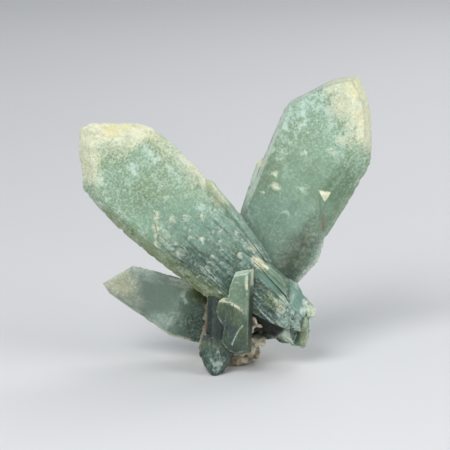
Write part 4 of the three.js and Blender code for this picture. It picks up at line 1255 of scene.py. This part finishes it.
def front_crystal_look(skin, sizes):
    """Glassy green above, with a top and ridge painted pale as if lit, a right side in painted shade, and a
    dark curved break below, with painted shade low down.
    """
    lift, shift = plain_look(
        skin, sizes, 311, deep=0.45, frost_and_painted_light=0.1, plate_count=4, reach=((-4, 3), (17, 24)), rib_share=0.35,
        rounding=0.0, edge_wear_and_highlight=0.2)
    u, v = skin.across, skin.along
    gap = ease(9, 7.6, v) * ease(3.2, 4.4, v)
    lip = np.exp(-((skin.edge / 0.11) ** 2)) * skin.brim * ease(1.8, 0.8, u) * (1 - gap)
    # Painted light: the top facet and its upper rim are painted pale with frost and pale marks, as if lit.
    skin.mark("frost_and_painted_light", 1.7 * ease(0.3, 0.7, skin.normal[:, 1]) * ease(18, 22, v))
    skin.mark("pale", 0.4 * ease(0.3, 0.7, skin.normal[:, 1]) * ease(18, 22, v))
    skin.mark("frost_and_painted_light", 0.6 * near_line(u, v, [(-3, 23.6), (2.4, 24.4)], 1.8) * skin.front)
    skin.mark("frost_and_painted_light", near_line(u, v, [(1.9, 23), (2.0, 19)], 1.1) * 0.8 * skin.front)
    skin.mark("crust", near_line(u, v, [(1.9, 21.8), (2.0, 19.6)], 1.0) * 1.0 * skin.front)
    # A pale line down the right ridge, partly frost and partly painted highlight.
    right_ridge = near_line(u, v, [(1.9, 19), (2.2, 8)], 0.7)
    skin.mark("frost_and_painted_light", right_ridge * 0.4 * ease(-0.2, 0.4, skin.noise(1.4, 325, 2)) * skin.front)
    skin.mark("pale", lip * ease(-0.7, 0.0, skin.noise(2.4, 322, 2)) * (np.abs(skin.normal[:, 0]) < 0.5))
    near_edge = np.exp(-((skin.ridge / 0.3) ** 2)) * ease(2, -3, u) * ease(10, 13, v) * (1 - skin.scar)
    skin.mark("rim", 0.8 * near_edge * ease(-0.5, 0.3, skin.noise(1.6, 323, 2)))
    crack = near_line(u, v, [(0.6, 8.3), (-1.0, 6.4), (-1.8, 4.9), (-2.8, 2.6)], 0.36)
    skin.mark("rim", skin.scar * crack * 0.9)
    across = ease(-3, 1.5, u)
    skin.mark("slate", skin.scar * (0.88 - 0.42 * across))
    cloudy = ease(-0.2, 0.6, skin.noise((2, 4, 2), 326, 3))
    skin.mark("olive", skin.scar * (0.16 * ease(8, 13, v) + 0.3 * cloudy))
    skin.mark("green", skin.scar * 0.4 * across)
    skin.mark("grey", skin.scar * 0.5 * across)
    skin.mark("lines", skin.scar * 0.15)
    lower_left = 0.3 * ease(-2, -6, u) * ease(11, 7, v)
    skin.mark("shade", skin.scar * (0.08 + lower_left + 0.12 * skin.noise(3, 321, 2)))
    skin.mark("shade", skin.scar * 0.45 * ease(10, 3.5, v) * ease(-3, 1, u))
    skin.mark("shade", 0.55 * ease(3.5, 1, v))
    # The right side faces away from the light: painted shade over most of it, and a painted highlight with
    # the sea mark where it turns from the front.
    right = ease(0.35, 0.8, skin.normal[:, 0]) * (1 - skin.scar)
    skin.mark("crust", right * 0.9 * ease(19.6, 21, v) * ease(2.6, 1.6, skin.out))
    skin.mark("olive", right * 0.7 * ease(6, 2, v))
    skin.mark("green", 0.8 * right)
    dark_side = np.interp(v, (0, 6, 12, 17, 20, 24), (0.6, 0.8, 0.9, 0.85, 0.4, 0.15))
    skin.mark("shade", right * ease(3.2, 2.4, skin.out) * dark_side)
    skin.mark("sea", 0.5 * right * ease(2.6, 3.2, skin.out))
    return lift, shift


def front_lobe_look(skin, sizes):
    """The lobe's break lies just under the crystal's own."""
    lift, shift = front_crystal_look(skin, sizes)
    return lift, shift - 0.05 * skin.scar * ease(-4.5, -3.5, skin.across)


class PRASE_OT_front_crystal(bpy.types.Operator):
    """Build the short upright crystal in front of the crossing"""

    bl_idname = "prase.front_crystal"
    bl_label = "Front crystal"

    def execute(self, context):
        sizes = context.scene.prase_crystals
        grow("front_crystal", FRONT_CRYSTAL, front_crystal_look, sizes, sizes.step, scooped=True)
        grow("front_lobe", FRONT_LOBE, front_lobe_look, sizes, sizes.step, scooped=True)
        return {"FINISHED"}


def base_look(skin, sizes):
    """Blue-grey, smooth above and mottled at the foot, with painted shade over the upper part."""
    lift, shift = plain_look(
        skin, sizes, 411, deep=1.0, frost_and_painted_light=0.0, plate_count=6, reach=((-5, 10), (0, 14)), rib_share=0.3,
        edge_wear_and_highlight=0.15)
    u, v = skin.across, skin.along
    foot = ease(12, 8, v + skin.noise(3, 422, 2))
    skin.mark("slate", 0.95 - 0.35 * foot)
    # Painted shade: most of it over the base above the foot, and a little on the foot's right.
    skin.mark("shade", 0.45 * (1 - foot) + 0.25 * ease(17, 12, v) * (1 - foot) + 0.2 * foot * ease(-1, 3, u))
    skin.mark("frost_and_painted_light", foot * (0.15 + 0.42 * ease(0.0, 0.6, skin.noise(3.0, 423, 3))) * ease(8, 4, v))
    skin.mark("olive", foot * 0.4 * ease(6, 10, v))
    skin.mark("sea", foot * 0.3 * ease(-0.2, 0.5, skin.noise(4.0, 425, 2)))
    skin.mark("crust", near_line(u, v, [(-4.4, 2), (-5.6, 8.6), (-3.2, 13.6)], 1.4) * 0.9)
    skin.mark("crust", near_line(u, v, [(-2.9, 12), (-1.9, 26)], 0.6) * 0.9)
    seam = near_line(u, v, [(-2.6, 14), (-1.8, 26)], 0.8)
    skin.mark("rust", seam * ease(-0.3, 0.4, skin.noise(1.6, 426, 2)) * 0.9)
    return lift + foot * 0.16 * skin.noise(1.6, 424, 3), shift


class PRASE_OT_base(bpy.types.Operator):
    """Build the base crystal and its foot"""

    bl_idname = "prase.base"
    bl_label = "Base and foot"

    def execute(self, context):
        sizes = context.scene.prase_crystals
        grow("base_crystal", BASE_CRYSTAL, base_look, sizes, sizes.step)
        grow("foot_crystal", FOOT_CRYSTAL, base_look, sizes, sizes.step)
        return {"FINISHED"}


def root_look(skin, sizes):
    """The broken root, with a smooth blue facet on its upper right."""
    lift, shift = left_blade_look(skin, sizes)
    smooth = ease(1.6, 2.8, skin.across) * ease(-0.2, 0.2, skin.normal[:, 0]) * (1 - skin.back)
    skin.marks["frost_and_painted_light"] = skin.marks["frost_and_painted_light"] * 0.8
    skin.marks["shade"] = skin.marks["shade"] * 0.7
    for name, kept in (("deep", 0.4), ("lines", 0.25), ("slate", 0.2), ("shade", 0.5)):
        skin.marks[name] = skin.marks[name] * (1 - (1 - kept) * smooth)
    skin.mark("sea", 0.95 * smooth)
    skin.mark("glassy", 0.6 * smooth)
    ragged = 0.4 + 0.6 * ease(-0.4, 0.3, skin.noise(1.2, 513, 2))
    chips = spots(skin.across, skin.along, [(3.4, 3.0, 1.9, 1.7, 1.0), (5.6, 4.2, 1.4, 1.4, 0.9)])
    chips = ragged * chips * (1 - skin.back)
    skin.mark("frost_and_painted_light", 1.2 * chips)
    skin.mark("rim", 0.7 * chips)
    shift = shift + 0.2 * skin.noise((1.3, 3, 1.3), 511, 3) * ease(16, 6, skin.along) * (1 - smooth)
    streaks = ease(0.2, 0.7, skin.noise((1.0, 5, 2), 512, 3)) * ease(18, 8, skin.along)
    skin.mark("frost_and_painted_light", streaks * (0.75 - 0.6 * smooth))
    skin.mark("lines", 0.8 * ease(22, 14, skin.along) * (1 - 0.8 * smooth))
    return lift, shift


def rear_root_look(skin, sizes):
    """The slab behind the root: paler, with a pinkish cast; the paleness is partly painted light, as the slab
    lies in shadow.
    """
    lift, shift = root_look(skin, sizes)
    skin.mark("grey", np.full(len(skin.along), 0.8))
    # Painted light: frost lifts this slab, which lies in shadow, and its painted shade is cut back.
    skin.mark("frost_and_painted_light", 0.8 + 0.3 * skin.noise(3, 521, 2))
    skin.mark("rust", 0.15 * ease(0.0, 0.6, skin.noise(3, 522, 2)))
    skin.marks["shade"] = skin.marks["shade"] * 0.4
    return lift, shift


def stub_look(skin, sizes):
    """Ribbed, with some frost."""
    return plain_look(
        skin, sizes, 611, deep=0.7, frost_and_painted_light=0.3, plate_count=20, reach=((-5, 5), (-6, 12)), rib_share=0.8)


class PRASE_OT_roots(bpy.types.Operator):
    """Build the left blade's broken root and the stubs on the back"""

    bl_idname = "prase.roots"
    bl_label = "Roots and stubs"

    def execute(self, context):
        blades = context.scene.prase_blades
        sizes = context.scene.prase_crystals
        grow("root_front_slab", ROOT_FRONT_SLAB, root_look, blades, sizes.step)
        grow("root_rear_slab", ROOT_REAR_SLAB, rear_root_look, blades, sizes.step)
        grow("back_stub", BACK_STUB, stub_look, sizes, sizes.step)
        grow("side_stub", SIDE_STUB, stub_look, sizes, sizes.step)
        return {"FINISHED"}


def broken_lump(bm, sizes, draw):
    """An irregular angular lump: the hull of a box whose corners are moved and whose faces bulge."""
    x, y, z, width, depth, height = sizes
    corners = []
    for side_x in (-1, 1):
        for side_y in (-1, 1):
            for side_z in (-1, 1):
                dx, dy, dz = side_x * draw(0.5, 1), side_y * draw(0.5, 1), side_z * draw(0.5, 1)
                corners.append((x + dx * width / 2, y + dy * depth / 2, z + dz * height / 2))
    for dx, dy, dz in ((1, 0, 0), (-1, 0, 0), (0, 1, 0), (0, -1, 0), (0, 0, 1), (0, 0, -1)):
        bulge = draw(0.42, 0.58)
        corners.append((x + dx * width * bulge, y + dy * depth * bulge, z + dz * height * bulge))
    verts = [bm.verts.new(corner) for corner in corners]
    hull = bmesh.ops.convex_hull(bm, input=verts)
    spare = [item for item in hull["geom_interior"] if isinstance(item, bmesh.types.BMVert)]
    bmesh.ops.delete(bm, geom=spare, context="VERTS")


def remeshed(name, bm, voxel):
    """One closed skin over everything in the mesh, in even small faces."""
    mesh = bpy.data.meshes.new(name)
    bm.to_mesh(mesh)
    bm.free()
    thing = link_new(name, mesh)
    even = thing.modifiers.new("even", "REMESH")
    even.mode, even.voxel_size, even.adaptivity = "VOXEL", voxel, 0
    bpy.context.view_layer.update()
    shaped = thing.evaluated_get(bpy.context.evaluated_depsgraph_get())
    result = bpy.data.meshes.new_from_object(shaped)
    bpy.data.objects.remove(thing)
    bpy.data.meshes.remove(mesh)
    result.name = name
    return result


class PRASE_OT_shards(bpy.types.Operator):
    """Build the broken shards at the root and round the foot"""

    bl_idname = "prase.shards"
    bl_label = "Shards"

    def execute(self, context):
        draw = random_source(5)
        bm = bmesh.new()
        for shard in SHARDS:
            broken_lump(bm, shard, draw)
        mesh = remeshed("broken_shards", bm, SHARD_VOXEL)
        points = points_of(mesh)
        moved = points + normals_of(mesh) * (0.12 * noise(points, 1.4, 5, 3) + 0.05)[:, None]
        right = ease(9, 14, points[:, 0])
        end = ease(19.5, 21.5, points[:, 0])
        chips = end * ease(14.5, 16, points[:, 2])
        marks = {
            "frost_and_painted_light": (0.15 + 0.4 * noise(points, 2, 6, 2)) * right + 0.45 * chips,
            "slate": 0.8 * (1 - right),
            "deep": 0.6 - 0.45 * end,
            "shade": 0.4 * (1 - right),
            "crust": np.maximum(0.3 * end, 0.9 * ease(3, 4, points[:, 0]) * ease(9, 8, points[:, 0])),
            "rim": 0.7 * chips * ease(-0.5, 0.4, noise(points, 1.4, 9, 2)),
            "pale": np.maximum(0.3 * chips, 0.6 * right * ease(0.2, 0.7, noise(points, 2.4, 7, 2))),
            "rust": 0.7 * ease(0.55, 0.9, noise(points, 2, 8, 2)) * right * (1 - chips),
        }
        write_marks(mesh, marks, points)
        finish_piece("broken_shards", mesh, moved, NODE, prase_material())
        return {"FINISHED"}


class PRASE_OT_host_rock(bpy.types.Operator):
    """Build the rough remnant of host rock"""

    bl_idname = "prase.host_rock"
    bl_label = "Host rock"

    def execute(self, context):
        meshes = [thing for thing in bpy.data.objects if thing.type == "MESH"]
        source = next(thing for thing in meshes if thing.name.split(".")[0] == "matrix")
        bm = bmesh.new()
        bm.from_mesh(source.data)
        bmesh.ops.transform(bm, matrix=source.matrix_world, verts=bm.verts[:])
        bmesh.ops.remove_doubles(bm, verts=bm.verts[:], dist=1e-6)
        bmesh.ops.scale(bm, vec=(1 / MM, 1 / MM, 1 / MM), verts=bm.verts[:])
        draw = random_source(9)
        for lump in RECESS_ROCK:
            broken_lump(bm, lump, draw)
        mesh = remeshed("host_rock_remnant", bm, ROCK_VOXEL)
        points = points_of(mesh)
        grain = context.scene.prase_rock.grain / MM
        height = grain * (noise(points, 2.6, 11, 3) * 0.7 + noise(points, 0.9, 12, 2) * 0.4) - 0.1
        moved = points + normals_of(mesh) * height[:, None]
        x, y, z = points.T
        upper_right = ease(4, 6, x) * ease(4.5, 6.5, z)
        pits = ease(0.15, 0.6, -noise(points, 2.6, 11, 3)) * 0.6 * ease(7.5, 5, z)
        # Painted shade: recess and under_root darken the rock in the recess under the left blade's root.
        recess = 0.95 * ease(-3.5, -1.5, y) * ease(6.5, 8, z)
        under_root = 0.5 * ease(10, 13, z) * ease(-3.5, -5, y)
        marks = {
            "rust": ease(0.2, 0.7, noise(points, 4, 13, 2)) * 0.7 * (1 - upper_right),
            "shade": np.maximum(pits, recess) + under_root,
            "pale": upper_right * ease(12, 10, z),
        }
        write_marks(mesh, marks, points)
        finish_piece("host_rock_remnant", mesh, moved, "matrix", rock_material())
        return {"FINISHED"}


TARGET = Vector((-1.8, 0, 41.87)) * MM  # what the camera and the lamps look at
FLOOR_GAP = 0.00004  # how far the floor lies under the cluster, in metres
# Name, place in metres, width in metres and power in watts.
LAMPS = (
    ("key", (-0.34, -0.68, 0.64), 0.6, 6.8),
    ("fill", (0.85, -0.42, 0.42), 0.7, 4.2),
    ("back", (0.35, 0.6, 0.6), 0.6, 2.5),
)


def set_up(name, data, place):
    """Puts a lamp or camera at a place and turns it to the target."""
    holder = link_new(name, data)
    holder.location = place
    holder.rotation_euler = (TARGET - holder.location).to_track_quat("-Z", "Y").to_euler()
    return holder


class PRASE_OT_stage(bpy.types.Operator):
    """Set the floor, the lamps and the camera"""

    bl_idname = "prase.stage"
    bl_label = "Stage"

    def execute(self, context):
        scene = context.scene
        sizes = scene.prase_stage
        bm = bmesh.new()
        flat = sizes.floor_size / 2
        profile = [(0, 0)]
        for step in range(21):
            turn = math.radians(4.5 * step)
            profile.append((flat * (1 + 0.7 * math.sin(turn)), 0.7 * flat * (1 - math.cos(turn))))
        verts = [bm.verts.new((away, 0, up - FLOOR_GAP)) for away, up in profile]
        edges = [bm.edges.new(pair) for pair in zip(verts, verts[1:])]
        bmesh.ops.spin(
            bm, geom=verts + edges, cent=(0, 0, 0), axis=(0, 0, 1), angle=math.tau, steps=96, use_merge=True)
        bmesh.ops.remove_doubles(bm, verts=bm.verts[:], dist=1e-5)
        bmesh.ops.recalc_face_normals(bm, faces=bm.faces[:])
        if min(bm.faces, key=lambda face: face.calc_center_median().length).normal.z < 0:
            bmesh.ops.reverse_faces(bm, faces=bm.faces[:])
        mesh = bpy.data.meshes.new("studio_floor")
        bm.to_mesh(mesh)
        bm.free()
        smooth_object("studio_floor", mesh, floor_material())

        angle = sizes.height_angle
        camera = bpy.data.cameras.new("camera")
        camera.lens, camera.sensor_width = sizes.lens, 36
        camera.clip_start, camera.clip_end = 0.05, 50
        away = Vector((0, -math.cos(angle), math.sin(angle))) * sizes.distance
        scene.camera = set_up("camera", camera, TARGET + away)

        for name, place, width, power in LAMPS:
            lamp = bpy.data.lights.new(name, "AREA")
            lamp.shape, lamp.size, lamp.energy = "DISK", width, power
            set_up(name, lamp, place)
        world = bpy.data.worlds.new("studio")
        world.use_nodes = True
        background = world.node_tree.nodes["Background"]
        background.inputs["Color"].default_value = (0.9, 0.95, 1.0, 1)
        background.inputs["Strength"].default_value = 0.3
        scene.world = world
        scene.view_settings.view_transform = "Standard"
        return {"FINISHED"}


class PRASE_PT_panel(bpy.types.Panel):
    """Lists the settings and the pieces"""

    bl_label = "Prase cluster"
    bl_idname = "PRASE_PT_panel"
    bl_space_type = "VIEW_3D"
    bl_region_type = "UI"
    bl_category = "Prase"

    def draw(self, context):
        for holder, group in SETTINGS.items():
            box = self.layout.box()
            settings = getattr(context.scene, holder)
            for name in group.__annotations__:
                box.prop(settings, name)
        for operator in OPERATORS:
            self.layout.operator(operator.bl_idname)


SETTINGS = {
    "prase_colours": PraseColours,
    "prase_rock": PraseRock,
    "prase_blades": PraseBlades,
    "prase_crystals": PraseCrystals,
    "prase_stage": PraseStage,
}
OPERATORS = (
    PRASE_OT_stage, PRASE_OT_left_blade, PRASE_OT_right_blade, PRASE_OT_small_crystal, PRASE_OT_front_crystal,
    PRASE_OT_base, PRASE_OT_roots, PRASE_OT_shards, PRASE_OT_host_rock,
)


def register():
    for group in (*SETTINGS.values(), *OPERATORS, PRASE_PT_panel):
        bpy.utils.register_class(group)
    for holder, group in SETTINGS.items():
        setattr(bpy.types.Scene, holder, PointerProperty(type=group))


def unregister():
    for holder in SETTINGS:
        delattr(bpy.types.Scene, holder)
    for group in reversed((*SETTINGS.values(), *OPERATORS, PRASE_PT_panel)):
        bpy.utils.unregister_class(group)


def main():
    register()
    bpy.ops.prase.stage()
    bpy.ops.prase.left_blade()
    bpy.ops.prase.right_blade()
    bpy.ops.prase.small_crystal()
    bpy.ops.prase.front_crystal()
    bpy.ops.prase.base()
    bpy.ops.prase.roots()
    bpy.ops.prase.shards()
    bpy.ops.prase.host_rock()


if __name__ == "__main__":
    main()
